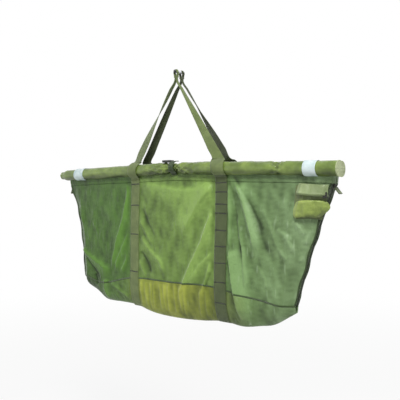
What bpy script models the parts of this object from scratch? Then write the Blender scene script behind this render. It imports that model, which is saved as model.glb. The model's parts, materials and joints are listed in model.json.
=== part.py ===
"""Weigh sling: a mesh bag between two foam float bars, hung by two webbing loops from a short steel bar.

Units are metres. X runs along the floats, the front faces -Y, +Z is up, and the origin is the middle
of the weigh bar. Everything on the front half is mirrored to the rear half by the sign of Y.
"""

import math

import bmesh
import bpy
import numpy as np
from mathutils import Matrix, Vector

FIT = 0.0003            # gap between pieces that touch
OVERRUN = 0.002         # how far a cutter runs past what it cuts
WELD = FIT / 30         # points closer than this are one point

# Weigh bar and its two loops
BAR_RADIUS = 0.005
BAR_CAP_WALL = 0.0015
LOOP_GAP = 0.009        # seat of the scale's hook, between the two loops
LOOP_WIDTH = 0.016      # webbing folded narrow where it passes over the bar
BAR_END = 0.0065        # loop's outer edge to the end of the bar
BAR_SIDES = 20
BAR_CAP_RINGS = 8

# Webbing
WEB_WIDTH = 0.046
WEB_THICKNESS = 0.002
STRAP_X = 0.190         # middle of each lower strap from the middle of the sling
SHOULDER_IN = 0.014     # how much nearer the middle the handle meets the top of the float
WRAP_CLEARANCE = 0.0013 # handle webbing to the sleeve that it turns round
WRAP_END = math.radians(150)

# Where the handle's cuts stand, as shares of its leg and of its turn round the float
LEG_SHARES = (0.05, 0.12, 0.19, 0.26, 0.33, 0.41, 0.50, 0.60, 0.73, 0.87, 1.0)
TWIST_SHARE = 0.80
SPREAD_SHARE = 0.90
LEVEL_START_SHARE = 0.60
SHOULDER_LIFT_SHARE = 0.16
WRAP_TURN_SHARES = (0.04, 0.12, 0.22, 0.32, 0.42, 0.52, 0.62, 0.72, 0.82, 0.91, 1.0)
WRAP_LIFT_SHARES = (0.07, 0.03, 0.01, 0.0, 0.0, 0.0, 0.0, 0.0, 0.0, 0.0, 0.0)

# Floats
FLOAT_DROP = 0.322      # bar's axis down to the floats' axis, at the neck
FLOAT_GAP = 0.0035      # open between the front float and the rear one
FLOAT_HALF = 0.588      # middle to the end of a float
REAR_SHORT = 0.016      # how much sooner the rear float ends at the right
FLOAT_DROOP = math.radians(1.5)
FLOAT_SIDES = 18
SLEEVE_RADIUS = 0.022
SLEEVE_WALL = 0.0012
SLEEVE_SHARES = (0.0, 0.022, 0.045, 0.066, 0.09, 0.60, 0.94, 0.965, 0.985, 1.0)
NECK_HALF = 0.0127      # half the soft stretch between the two sleeves
NECK_X_SHARES = (-1.0, -1.0, -0.5, 0.0, 0.5, 1.0, 1.0)
NECK_RADIUS_SHARES = (0.0, 1.0, 0.86, 0.75, 0.86, 1.0, 0.0)
GATHER_LENGTH = 0.050   # how far the gathers reach along the sleeve from the neck
GATHER_RADIUS = 0.0165
LIMP_LENGTH = 0.034     # unfilled end of the left sleeves
LIMP_RADIUS = 0.0150
CAP_WALL = 0.0018
LIMP_CAP_LENGTH = 0.006
CAP_RADIUS_SHARES = (0.0, 1.0, 1.0, 0.8, 0.0)
CAP_LENGTH_SHARES = (0.0, 0.0, 0.3, 0.8, 1.0)
BAND_INSET_LEFT = 0.114 # end of the float to the middle of a reflective band
BAND_INSET_RIGHT = 0.080
BAND_WIDTH = 0.050
BAND_WALL = 0.0006
BAND_SIDES = 22

# Bag
BAG_DEPTH = 0.503       # floats' axis down to the lowest point of the base
HEM_HEIGHT = 0.018
PANEL_WALL = 0.0012
SEAM_Y = 0.032          # base seam from the middle plane
SEAM_HEIGHT = 0.006
SEAM_WALL = 0.0017
BASE_Y = 0.0012         # underside of the base from the middle plane
EDGE_INSET_LEFT = 0.040 # end of the float to the top of the bag's end edge
EDGE_INSET_RIGHT = 0.023
EDGE_TAPER_LEFT = 0.068 # how much nearer the middle the end edge's foot is
EDGE_TAPER_RIGHT = 0.116
EDGE_SAG_LEFT = 0.013   # how far the end edge is drawn in between its two ends
EDGE_SAG_RIGHT = 0.005

# Heights of the base seam and of the lowest line, as shares of the bag's depth, at shares of the float
SEAM_X_SHARES = (-0.816, -0.643, -0.327, 0.0, 0.306, 0.429, 0.602, 0.704, 0.764)
SEAM_DEPTH_SHARES = (0.765, 0.823, 0.761, 0.755, 0.751, 0.771, 0.795, 0.810, 0.811)
BASE_X_SHARES = (-0.816, -0.765, -0.663, -0.592, -0.541, -0.469, -0.316, -0.214, 0.0,
                 0.184, 0.327, 0.464, 0.556, 0.643, 0.714, 0.764)
BASE_DEPTH_SHARES = (0.809, 0.855, 0.907, 0.954, 0.958, 0.956, 0.962, 0.988, 1.0,
                     0.987, 0.968, 0.978, 0.958, 0.934, 0.884, 0.848)
# Where the cloth's columns stand, closer together where it hangs in folds: between the straps as
# shares of the stretch from the middle to a strap, and beyond them of the stretch to the end edge
MIDDLE_COLUMN_SHARES = (-0.80, -0.60, -0.40, -0.20, 0.0, 0.20, 0.40, 0.60, 0.80)
LEFT_COLUMN_SHARES = (0.05, 0.13, 0.21, 0.30, 0.40, 0.51, 0.62, 0.74, 0.87, 1.0)
RIGHT_COLUMN_SHARES = (0.04, 0.08, 0.12, 0.16, 0.20, 0.25, 0.32, 0.42, 0.54, 0.66, 0.78, 0.89, 1.0)
PANEL_ROWS = 16
BASE_ROWS = 5

# Folds of the hanging cloth
BUNCH_DEPTH = 0.0060
BUNCH_PITCH = 0.045
BUNCH_REACH = 0.075
LOOSE_FOLD_OUT = 0.078  # lower strap's middle to the long loose fold beside it
LOOSE_FOLD_DEPTH = 0.016
LOOSE_FOLD_WIDTH = 0.016
SWAG_DEPTH = 0.0050
SWAG_PITCH = 0.085
SWAG_DROP = 0.090
CORNER_FOLD_DEPTH = 0.0050
CORNER_FOLD_PITCH = 0.095
CORNER_FOLD_OUT = 0.225 # lower strap's middle to the folds of the lower corner
FLAT_MARGIN = 0.006     # cloth kept flat beside a strap and at the ends
FLAT_BLEND = 0.030
FOLD_START_SHARE = 0.15
FOLD_END_SHARE = 1.7
POCKET_FALL_SHARE = 0.35

# Zips
TEETH_GAP = 0.0016      # left open between the two rows
TEETH_WIDTH = 0.0028
TEETH_THICKNESS = 0.0026
TEETH_PITCH = 0.009
TEETH_RELIEF = 0.0010
TAPE_WALL = 0.0010
ZIP_ROWS = 16
SLIDER_LENGTH = 0.013
SLIDER_WIDTH = 0.011
SLIDER_PLATE = 0.0018
SLIDER_EDGE = 0.0005    # bevel of its edges
POST_WIDTH = 0.0008     # post between the two plates, in the gap between the teeth
POST_LENGTH = 0.003
ARCH_RADIUS = 0.0038    # arch on the outer plate that holds the pull tab
ARCH_WIRE = 0.0016
ARCH_FOOT = 0.0007      # how deep its feet reach into the plate
ARCH_STEPS = 8
ARCH_SIDES = 8
TAB_SEAT = 0.0015       # plate's face to the axis of the pull tab
TAB_LENGTH = 0.026
TAB_WIDTH = 0.017
TAB_THICKNESS = 0.0016
TAB_SLOT = 0.009
TAB_CLEARANCE = 0.0005
TAB_HANG_LEFT = math.radians(48)    # from the line of the zip, outwards
TAB_HANG_RIGHT = math.radians(57)

# Neck strap and its side-release buckle
NECK_STRAP_WIDTH = 0.022
NECK_STRAP_WALL = 0.002
NECK_STRAP_START = math.radians(150)
NECK_STRAP_HEM_SHARE = 0.85
NECK_STRAP_TURN_SHARES = (0.0, 0.16, 0.33, 0.5, 0.67, 0.84, 1.0)
BUCKLE_WIDTH = 0.022
BUCKLE_THICKNESS = 0.0075
BUCKLE_WALL = 0.0012
BUCKLE_EDGE = 0.0008
BUCKLE_PLAY = 0.0004
BUCKLE_SLOT = 0.002     # webbing slot at each end
BUCKLE_BAR = 0.0022     # bar that closes it
PLUG_LENGTH = 0.0125
TONGUE_LENGTH = 0.012
TONGUE_WIDTH = 0.0044
SOCKET_LENGTH = 0.022
SOCKET_DEPTH = 0.015
WINDOW_START = 0.006    # socket's mouth to its side windows
ARM_WIDTH = 0.0036
ARM_ROOT = 0.0010
ARM_SHOULDER = 0.0011   # catch of an arm, out from the arm's side

# Stow pocket on the front panel, its flap and lower fold, and the webbing keeper beside it
POCKET_INSET = 0.016    # top of the right end edge to the side of the pocket
POCKET_WIDTH = 0.098
POCKET_TOP = 0.057      # below the floats' axis at the neck
POCKET_HEIGHT = 0.096
POCKET_DEPTH = 0.010
POCKET_RIM_SHARE = 0.45
POCKET_CUTS = 5
FLAP_HEIGHT = 0.031
FLAP_WALL = 0.0022
FLAP_ROWS = 4
LOWER_FOLD_DROP = 0.045 # pocket's top to the top of its lower fold
LOWER_FOLD_HEIGHT = 0.044
LOWER_FOLD_DEPTH = 0.008
LAYER_CLEARANCE = 0.0009
KEEPER_INSET = 0.0095   # top of the right end edge to the side of the keeper
KEEPER_WIDTH = 0.013
KEEPER_HEIGHT = 0.017
KEEPER_DEPTH = 0.004
KEEPER_TOP = 0.079
KEEPER_EDGE = 0.0012

LOOP_OFFSET = (LOOP_GAP + LOOP_WIDTH) / 2
BAR_LENGTH = LOOP_GAP + 2 * LOOP_WIDTH + 2 * BAR_END
PIVOT_Z = BAR_RADIUS + FIT
SHOULDER_X = STRAP_X - SHOULDER_IN
HALF_SPACING = SLEEVE_RADIUS + FLOAT_GAP / 2
WRAP_RADIUS = SLEEVE_RADIUS + WRAP_CLEARANCE + WEB_THICKNESS / 2
LOOSE_FOLD_X = STRAP_X + LOOSE_FOLD_OUT
CORNER_FOLD_X = STRAP_X + CORNER_FOLD_OUT
EDGE_TOP_LEFT = FLOAT_HALF - EDGE_INSET_LEFT
EDGE_TOP_RIGHT = FLOAT_HALF - EDGE_INSET_RIGHT
POCKET_X = EDGE_TOP_RIGHT - POCKET_INSET - POCKET_WIDTH / 2
KEEPER_X = EDGE_TOP_RIGHT - KEEPER_INSET - KEEPER_WIDTH / 2


def clear_scene():
    for thing in list(bpy.data.objects):
        bpy.data.objects.remove(thing, do_unlink=True)


def new_collection(name):
    made = bpy.data.collections.new(name)
    bpy.context.scene.collection.children.link(made)
    return made


def material(name, colour, roughness, metallic=0.0):
    made = bpy.data.materials.new(name)
    made.use_nodes = True
    shader = made.node_tree.nodes["Principled BSDF"]
    shader.inputs["Base Color"].default_value = (*colour, 1)
    shader.inputs["Roughness"].default_value = roughness
    shader.inputs["Metallic"].default_value = metallic
    return made


clear_scene()
SLING = new_collection("weigh_sling")
CUTTERS = new_collection("cutters")

STEEL = material("brushed_steel", (0.62, 0.63, 0.65), 0.30, 1.0)
BLACK = material("black_plastic", (0.02, 0.02, 0.02), 0.45)
WEBBING = material("olive_webbing", (0.16, 0.19, 0.10), 0.85)
NYLON = material("olive_nylon", (0.22, 0.32, 0.10), 0.45)
MESH = material("green_mesh", (0.17, 0.30, 0.12), 0.75)
BASE = material("base_mesh", (0.30, 0.38, 0.10), 0.70)
FOAM = material("white_foam", (0.85, 0.85, 0.82), 0.90)
REFLECTIVE = material("reflective_tape", (0.80, 0.88, 0.90), 0.30)
ZIP = material("zip_black", (0.03, 0.04, 0.02), 0.50)
SLIDER = material("slider_metal", (0.09, 0.09, 0.08), 0.40, 1.0)
POCKET = material("pocket_nylon", (0.36, 0.46, 0.20), 0.55)

SHARP_ANGLE = math.radians(40)


def smooth(value):
    """0 below 0 and 1 above 1, with an even turn between."""
    value = min(max(value, 0), 1)
    return value * value * (3 - 2 * value)


def hump(value, middle, reach):
    """1 at the middle, easing to 0 at the reach to either side."""
    return smooth(1 - abs(value - middle) / reach)


def read_curve(value, places, levels):
    """Smooth curve through the points (places, levels), read at value."""
    value = min(max(value, places[0]), places[-1])
    slopes = np.gradient(levels, places)
    i = min(int(np.searchsorted(places, value, side="right")) - 1, len(places) - 2)
    width = places[i + 1] - places[i]
    t = (value - places[i]) / width
    rise = levels[i + 1] - levels[i]
    bend_out = slopes[i] * width - rise
    bend_in = slopes[i + 1] * width - rise
    return levels[i] + rise * t + (1 - t) * t * ((1 - t) * bend_out - t * bend_in)


def keep(thing, finish, parent=None):
    """Puts a finished piece in the sling's collection, with its material and the joint that carries it."""
    SLING.objects.link(thing)
    thing.data.materials.append(finish)
    if parent is not None:
        thing.parent = parent
        thing.matrix_parent_inverse = Matrix.Translation(-parent.location)
    return thing


def joint(name, place, parent=None):
    """An empty on a joint's axis, which the moving pieces are parented to."""
    made = bpy.data.objects.new(name, None)
    SLING.objects.link(made)
    made.location = place
    if parent is not None:
        made.parent = parent
        made.matrix_parent_inverse = Matrix.Translation(-parent.location)
    return made


def grid(columns, rows, place):
    """A flat grid whose points are moved to place(u, v), with u and v from 0 to 1."""
    made = bmesh.new()
    bmesh.ops.create_grid(made, x_segments=columns, y_segments=rows, size=0.5)
    for point in made.verts:
        point.co = place(point.co.x + 0.5, point.co.y + 0.5)
    return made


def to_object(name, shape):
    mesh = bpy.data.meshes.new(name)
    shape.to_mesh(mesh)
    shape.free()
    mesh.shade_smooth()
    mesh.set_sharp_from_angle(angle=SHARP_ANGLE)
    return bpy.data.objects.new(name, mesh)


def thicken(thing, wall):
    wall_modifier = thing.modifiers.new("wall", "SOLIDIFY")
    wall_modifier.thickness = wall
    wall_modifier.offset = 0
    return thing


def cloth(name, columns, rows, place, wall, finish, parent=None):
    """A sheet of cloth or webbing: a shaped grid with a wall."""
    return thicken(keep(to_object(name, grid(columns, rows, place)), finish, parent), wall)


def tube_cloth(name, around, along, place, wall, finish, parent=None):
    """A sleeve: a grid closed round into a tube, with a wall and open ends."""
    shape = grid(around, along, place)
    bmesh.ops.remove_doubles(shape, verts=shape.verts, dist=WELD)
    return thicken(keep(to_object(name, shape), finish, parent), wall)


def turned(name, around, along, place):
    """A closed turned shape: a grid closed round, whose two ends meet in points."""
    shape = grid(around, along, place)
    bmesh.ops.remove_doubles(shape, verts=shape.verts, dist=WELD)
    bmesh.ops.recalc_face_normals(shape, faces=shape.faces)
    return to_object(name, shape)


def block(name, corner, other_corner):
    """A box between two opposite corners."""
    shape = bmesh.new()
    bmesh.ops.create_cube(shape, size=1)
    low = Vector(map(min, corner, other_corner))
    size = Vector(map(max, corner, other_corner)) - low
    for point in shape.verts:
        point.co = low + (point.co + Vector((0.5, 0.5, 0.5))) * size
    return to_object(name, shape)


def pouch(name, cuts, place):
    """A soft closed form: a cube cut into a grid, its points moved to place(across, up, out), -1 to 1."""
    shape = bmesh.new()
    bmesh.ops.create_cube(shape, size=2)
    bmesh.ops.subdivide_edges(shape, edges=shape.edges, cuts=cuts, use_grid_fill=True)
    for point in shape.verts:
        point.co = place(*point.co)
    bmesh.ops.recalc_face_normals(shape, faces=shape.faces)
    return to_object(name, shape)


def soften(thing, width):
    """Bevels the edges of a moulded piece."""
    edge = thing.modifiers.new("edge", "BEVEL")
    edge.width = width
    edge.segments = 1
    edge.limit_method = "ANGLE"
    return thing


def combine(thing, tool, operation):
    """Cuts the tool out of a piece, or joins it on, and keeps the tool aside."""
    CUTTERS.objects.link(tool)
    tool.hide_render = True
    tool.display_type = "WIRE"
    step = thing.modifiers.new(tool.name, "BOOLEAN")
    step.operation = operation
    step.object = tool


def float_z(x):
    """Height of the floats' axis at x: each half droops outward from the neck."""
    return -FLOAT_DROP - abs(x) * math.tan(FLOAT_DROOP)


def sleeve_radius(x):
    """Outer radius of a sleeve, drawn in by the gathers beside the neck and limp at the left end."""
    out = abs(x)
    radius = GATHER_RADIUS + (SLEEVE_RADIUS - GATHER_RADIUS) * smooth((out - NECK_HALF) / GATHER_LENGTH)
    if x < 0:
        limp = smooth((out - FLOAT_HALF + LIMP_LENGTH) / LIMP_LENGTH)
        radius -= (SLEEVE_RADIUS - LIMP_RADIUS) * limp
    return radius


HINGE_Z = float_z(STRAP_X)


class EndEdge:
    """One end of the bag: the arc that the zip follows, from under the float down to the base corner."""

    def __init__(self, side, top_x, taper, foot_share, sag):
        self.side = side
        self.top = Vector((top_x, float_z(top_x) - SLEEVE_RADIUS - HEM_HEIGHT - 2 * FIT))
        foot_z = -FLOAT_DROP - foot_share * BAG_DEPTH + SEAM_HEIGHT / 2 + FIT
        self.foot = Vector((top_x - taper, foot_z))
        chord = self.foot - self.top
        self.radius = (chord.length ** 2 / 4 + sag ** 2) / (2 * sag)
        outward = Vector((-chord.y, chord.x)).normalized()
        self.centre = (self.top + self.foot) / 2 + outward * (self.radius - sag)
        self.start = self.angle_of(self.top)
        self.span = self.angle_of(self.foot) - self.start
        self.length = abs(self.span) * self.radius

    def angle_of(self, place):
        return math.atan2(place.y - self.centre.y, place.x - self.centre.x) % math.tau

    def x(self, z):
        """Distance of the edge from the middle of the sling, at height z."""
        return self.centre.x - math.sqrt(self.radius ** 2 - (z - self.centre.y) ** 2)

    def point(self, share, outward=0.0):
        """A point a share of the way down the arc, moved outward from the bag."""
        angle = self.start + self.span * share
        reach = self.radius - outward
        x = self.centre.x + reach * math.cos(angle)
        return Vector((self.side * x, 0, self.centre.y + reach * math.sin(angle)))

    def frame(self, share):
        """Axes at the teeth, a share of the way down: outward, across the bag, and up along the zip."""
        angle = self.start + self.span * share
        outward = Vector((-self.side * math.cos(angle), 0, -math.sin(angle)))
        up = outward.cross(Vector((0, self.side, 0)))
        return axes(outward, up.cross(outward), up, self.point(share, -TAPE_WALL / 2))


def axes(x_axis, y_axis, z_axis, origin):
    made = Matrix((x_axis, y_axis, z_axis)).transposed().to_4x4()
    made.translation = origin
    return made


RIGHT_END = EndEdge(1, EDGE_TOP_RIGHT, EDGE_TAPER_RIGHT, SEAM_DEPTH_SHARES[-1], EDGE_SAG_RIGHT)
LEFT_END = EndEdge(-1, EDGE_TOP_LEFT, EDGE_TAPER_LEFT, SEAM_DEPTH_SHARES[0], EDGE_SAG_LEFT)


def end_of(x):
    return RIGHT_END if x > 0 else LEFT_END


def column_places():
    """Where the cloth's columns meet the hem, from left to right. Each strap lies between two of them."""
    inner = STRAP_X - WEB_WIDTH / 2 - FLAT_MARGIN / 2
    outer = STRAP_X + WEB_WIDTH / 2 + FLAT_MARGIN / 2
    left = [-outer - (EDGE_TOP_LEFT - outer) * share for share in reversed(LEFT_COLUMN_SHARES)]
    middle = [inner * share for share in MIDDLE_COLUMN_SHARES]
    right = [outer + (EDGE_TOP_RIGHT - outer) * share for share in RIGHT_COLUMN_SHARES]
    return [*left, -outer, -inner, *middle, inner, outer, *right]


COLUMN_PLACES = column_places()
COLUMNS = len(COLUMN_PLACES) - 1


def column_x(u):
    return COLUMN_PLACES[round(u * COLUMNS)]


def seam_z(x):
    return -FLOAT_DROP - BAG_DEPTH * read_curve(x / FLOAT_HALF, SEAM_X_SHARES, SEAM_DEPTH_SHARES)


def base_z(x):
    return -FLOAT_DROP - BAG_DEPTH * read_curve(x / FLOAT_HALF, BASE_X_SHARES, BASE_DEPTH_SHARES)


def drawn_in(x, z):
    """How far a column that starts at x leans towards the middle by height z, with the end edge."""
    end = end_of(x)
    free = STRAP_X + WEB_WIDTH
    share = smooth((abs(x) - free) / (end.top.x - free))
    height = min(max(z, end.foot.y), end.top.y)
    return end.side * share * (end.x(height) - end.top.x)


def folds(x, fall):
    """How far the cloth stands out of its smooth surface. Fall is 0 at the hem, 1 at the seam, 2 below."""
    swag = math.sin(math.tau * (fall * BAG_DEPTH + SWAG_DROP * (1 - (x / STRAP_X) ** 2)) / SWAG_PITCH)
    out = SWAG_DEPTH * swag * hump(x, 0, STRAP_X)
    bunch = math.sin(math.tau * (abs(x) - STRAP_X) / BUNCH_PITCH)
    out += BUNCH_DEPTH * bunch * hump(abs(x), STRAP_X + BUNCH_REACH, BUNCH_REACH)
    out += LOOSE_FOLD_DEPTH * math.exp(-(((x - LOOSE_FOLD_X) / LOOSE_FOLD_WIDTH) ** 2))
    slant = math.sin(math.tau * (abs(x) + fall * BAG_DEPTH) / CORNER_FOLD_PITCH)
    out += CORNER_FOLD_DEPTH * slant * hump(abs(x), CORNER_FOLD_X, BUNCH_REACH + BUNCH_PITCH) * smooth(fall)
    flat = smooth((abs(abs(x) - STRAP_X) - WEB_WIDTH / 2 - FLAT_MARGIN) / FLAT_BLEND)
    flat *= smooth((end_of(x).top.x - abs(x)) / FLAT_BLEND)
    if x > POCKET_X - POCKET_WIDTH:
        flat *= smooth((fall - POCKET_FALL_SHARE) / POCKET_FALL_SHARE)
    return out * flat * smooth(fall / FOLD_START_SHARE) * smooth((FOLD_END_SHARE - fall) / FOLD_START_SHARE)


def panel_point(x, fall, side=-1):
    """Point on a side panel's middle surface: fall 0 at the hem's lower edge, 1 at the base seam."""
    top = float_z(x) - SLEEVE_RADIUS - HEM_HEIGHT - 2 * FIT
    foot_x = x + drawn_in(x, end_of(x).foot.y)
    z = top + (seam_z(foot_x) + SEAM_HEIGHT / 2 + FIT - top) * fall
    out = HALF_SPACING + (SEAM_Y - HALF_SPACING) * fall + folds(x, fall)
    return Vector((x + drawn_in(x, z), side * out, z))


def base_point(x, turn_share, side=-1):
    """Point on a base half's middle surface: turn share 0 under the base seam, 1 at the middle plane."""
    foot_x = x + drawn_in(x, end_of(x).foot.y)
    turn = turn_share * math.pi / 2
    start = seam_z(foot_x) - SEAM_HEIGHT / 2 - FIT
    z = start + (base_z(foot_x) - start) * math.sin(turn)
    inner = BASE_Y + PANEL_WALL / 2
    out = inner + (SEAM_Y + folds(x, 1 + turn_share) - inner) * math.cos(turn)
    return Vector((foot_x, side * out, z))


def take_out(thing):
    """Takes a new primitive out of the collections that it was added to."""
    for owner in list(thing.users_collection):
        owner.objects.unlink(thing)
    return thing


def rod_along_y(name, radius, length):
    bpy.ops.mesh.primitive_cylinder_add(vertices=BAR_SIDES, radius=radius, depth=length)
    rod = take_out(bpy.context.object)
    rod.name = name
    rod.data.transform(Matrix.Rotation(math.pi / 2, 4, "X"))
    rod.data.shade_smooth()
    rod.data.set_sharp_from_angle(angle=SHARP_ANGLE)
    return rod


def make_bar():
    keep(rod_along_y("weigh_bar", BAR_RADIUS, BAR_LENGTH), STEEL)
    for side, word in ((-1, "front"), (1, "rear")):
        bpy.ops.mesh.primitive_uv_sphere_add(segments=BAR_SIDES, ring_count=BAR_CAP_RINGS,
                                             radius=BAR_RADIUS + FIT + BAR_CAP_WALL)
        cap = keep(take_out(bpy.context.object), BLACK)
        cap.name = "bar_cap_" + word
        cap.location.y = side * BAR_LENGTH / 2
        cap.data.shade_smooth()
        bore = rod_along_y("cap_bore_" + word, BAR_RADIUS + FIT, BAR_LENGTH)
        bore.location.y = side * FIT
        combine(cap, bore, "DIFFERENCE")


def wrap_point(angle, radius, x, side):
    """Point at a radius from the float's axis, at an angle from its top round its outer face."""
    out = HALF_SPACING + radius * math.sin(angle)
    return Vector((x, side * out, HINGE_Z + radius * math.cos(angle)))


def handle_stations():
    """Half of a front handle from the bar outwards: (middle of the webbing, half of its cut across)."""
    stations = []
    loop_radius = BAR_RADIUS + FIT + WEB_THICKNESS / 2
    shoulder = Vector((SHOULDER_X, -HALF_SPACING, HINGE_Z + SLEEVE_RADIUS + WEB_WIDTH * SHOULDER_LIFT_SHARE))
    lean = math.atan2(shoulder.x, -shoulder.z)
    across = Vector((0, 1, 0))
    square = Vector((math.cos(lean), 0, math.sin(lean)))
    along_leg = Vector((math.sin(lean), 0, -math.cos(lean)))
    for turn in (math.pi / 2, math.pi / 3, lean):
        point = Vector((loop_radius * math.cos(turn), -LOOP_OFFSET, loop_radius * math.sin(turn)))
        stations.append((point, across * LOOP_WIDTH / 2))
    start = stations[-1][0]
    for share in LEG_SHARES:
        twist = smooth(share / TWIST_SHARE) * math.pi / 2
        half = (LOOP_WIDTH + (WEB_WIDTH - LOOP_WIDTH) * smooth(share / SPREAD_SHARE)) / 2
        level = smooth((share - LEVEL_START_SHARE) / (1 - LEVEL_START_SHARE))
        cut = across * math.cos(twist) + square * math.sin(twist) + along_leg * math.tan(lean) * level
        stations.append((start.lerp(shoulder, share), cut * half))
    for turn_share, lift_share in zip(WRAP_TURN_SHARES, WRAP_LIFT_SHARES):
        turn = WRAP_END * turn_share - (FIT / WRAP_RADIUS if turn_share == 1 else 0)
        x = STRAP_X - (STRAP_X - SHOULDER_X) * (1 - turn_share) ** 2
        slope = math.tan(lean) * (1 - turn_share)
        half = WEB_WIDTH / 2 * math.sqrt(1 + slope ** 2)
        point = wrap_point(turn, WRAP_RADIUS + lift_share * WEB_WIDTH, x, -1)
        stations.append((point, Vector((half, 0, 0))))
    return stations


def make_handle(side, word, parent):
    half = handle_stations()
    left = [(Vector((-p.x, p.y, p.z)), Vector((-c.x, c.y, c.z))) for p, c in half[1:]]
    path = []
    for point, cut in [*reversed(left), *half]:
        if path and cut.dot(path[-1][1]) < 0:
            cut = -cut
        path.append((point, cut))

    def place(u, v):
        point, cut = path[round(v * (len(path) - 1))]
        spot = point + cut * (2 * u - 1)
        return Vector((spot.x, -side * spot.y, spot.z))

    cloth(word + "_handle_strap", 2, len(path) - 1, place, WEB_THICKNESS, WEBBING, parent)


def along_float(x, angle, radius, side):
    """Point on a tube round the float's drooping axis."""
    return Vector((x, side * HALF_SPACING + radius * math.sin(angle), float_z(x) + radius * math.cos(angle)))


def make_half_float(side, word, end, hand, parent):
    """Foam, sleeve, reflective band and end cap to one side of the neck."""
    name = f"{word}_{hand}_"
    half = FLOAT_HALF - (REAR_SHORT if side > 0 and end > 0 else 0)
    core_start = NECK_HALF + GATHER_LENGTH
    core_end = half - (LIMP_LENGTH + FIT if end < 0 else SLEEVE_WALL)
    core_stations = ((core_start, 0), (core_start, 1), (core_end, 1), (core_end, 0))

    def core(u, v):
        station, reach_share = core_stations[round(v * 3)]
        reach = reach_share * (SLEEVE_RADIUS - SLEEVE_WALL - FIT)
        return along_float(end * station, math.tau * u, reach, side)

    keep(turned(name + "foam", FLOAT_SIDES, 3, core), FOAM, parent)
    sleeve_steps = len(SLEEVE_SHARES) - 1

    def sleeve(u, v):
        out = NECK_HALF + FIT + (half - NECK_HALF - FIT) * SLEEVE_SHARES[round(v * sleeve_steps)]
        return along_float(end * out, math.tau * u, sleeve_radius(end * out) - SLEEVE_WALL / 2, side)

    tube_cloth(name + "sleeve", FLOAT_SIDES, sleeve_steps, sleeve, SLEEVE_WALL, NYLON, parent)

    band_x = FLOAT_HALF - (BAND_INSET_LEFT if end < 0 else BAND_INSET_RIGHT)

    def band(u, v):
        x = end * (band_x + BAND_WIDTH * (v - 0.5))
        open_angle = (PANEL_WALL + FIT) / SLEEVE_RADIUS
        angle = math.pi + open_angle + (math.tau - 2 * open_angle) * u
        return along_float(x, angle, SLEEVE_RADIUS + FIT + BAND_WALL / 2, side)

    cloth(name + "reflective_band", BAND_SIDES, 1, band, BAND_WALL, REFLECTIVE, parent)
    cap_radius = LIMP_RADIUS if end < 0 else SLEEVE_RADIUS
    cap_length = LIMP_CAP_LENGTH if end < 0 else CAP_WALL
    cap_steps = len(CAP_RADIUS_SHARES) - 1

    def cap(u, v):
        step = round(v * cap_steps)
        x = end * (half + FIT + cap_length * CAP_LENGTH_SHARES[step])
        return along_float(x, math.tau * u, cap_radius * CAP_RADIUS_SHARES[step], side)

    keep(turned(name + "end_cap", FLOAT_SIDES, cap_steps, cap), NYLON, parent)


def make_float(side, word, parent):
    for end, hand in ((-1, "left"), (1, "right")):
        make_half_float(side, word, end, hand, parent)
    neck_steps = len(NECK_X_SHARES) - 1

    def neck(u, v):
        step = round(v * neck_steps)
        reach = GATHER_RADIUS * NECK_RADIUS_SHARES[step]
        return along_float(NECK_HALF * NECK_X_SHARES[step], math.tau * u, reach, side)

    keep(turned(word + "_neck", FLOAT_SIDES, neck_steps, neck), NYLON, parent)


def make_cloth(side, word, parent):
    def hem(u, v):
        x = column_x(u)
        top = float_z(x) - SLEEVE_RADIUS - FIT
        return Vector((x, side * HALF_SPACING, top - HEM_HEIGHT * (1 - v)))

    cloth(word + "_hem_band", COLUMNS, 1, hem, PANEL_WALL, NYLON, parent)
    cloth(word + "_panel", COLUMNS, PANEL_ROWS, lambda u, v: panel_point(column_x(u), 1 - v, side),
          PANEL_WALL, MESH, parent)

    def seam(u, v):
        point = panel_point(column_x(u), 1, side)
        point.z -= FIT + SEAM_HEIGHT * (1 - v)
        return point

    cloth(word + "_base_seam", COLUMNS, 1, seam, SEAM_WALL, WEBBING, parent)
    cloth(word + "_base", COLUMNS, BASE_ROWS, lambda u, v: base_point(column_x(u), 1 - v, side),
          PANEL_WALL, BASE, parent)


def make_lower_strap(side, word, hand, end, parent):
    """The strap lies flat on the cloth between the two columns beside it, from the float to the bottom."""
    outside = SEAM_WALL / 2 + FIT + WEB_THICKNESS / 2
    beside = WEB_WIDTH / 2 + FLAT_MARGIN / 2
    rows = []
    for i in range(1, PANEL_ROWS):
        rows.append([panel_point(end * (STRAP_X + out), i / PANEL_ROWS) for out in (-beside, beside)])
    for i in range(BASE_ROWS + 1):
        rows.append([base_point(end * (STRAP_X + out), i / BASE_ROWS) for out in (-beside, beside)])
    top = wrap_point(WRAP_END, WRAP_RADIUS, STRAP_X, -1)
    hem_y = -HALF_SPACING - outside
    hem_top = HINGE_Z - SLEEVE_RADIUS
    lead = [top] + [Vector((STRAP_X, hem_y, hem_top - HEM_HEIGHT * share)) for share in (0.35, 0.75)]

    def place(u, v):
        i = round((1 - v) * (len(lead) + len(rows) - 1))
        x = end * (STRAP_X + WEB_WIDTH * (u - 0.5))
        if i < len(lead):
            return Vector((x, -side * lead[i].y, lead[i].z))
        i -= len(lead)
        inner, outer = rows[i]
        before, after = rows[max(i - 1, 0)][0], rows[min(i + 1, len(rows) - 1)][0]
        down = after - before
        outward = Vector((0, down.z, -down.y)).normalized() * outside
        point = inner.lerp(outer, 0.5 + (u - 0.5) * WEB_WIDTH / (2 * beside)) + outward
        return Vector((x, -side * point.y, point.z))

    cloth(f"{word}_{hand}_strap", 1, len(lead) + len(rows) - 1, place, WEB_THICKNESS, WEBBING, parent)


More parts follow.
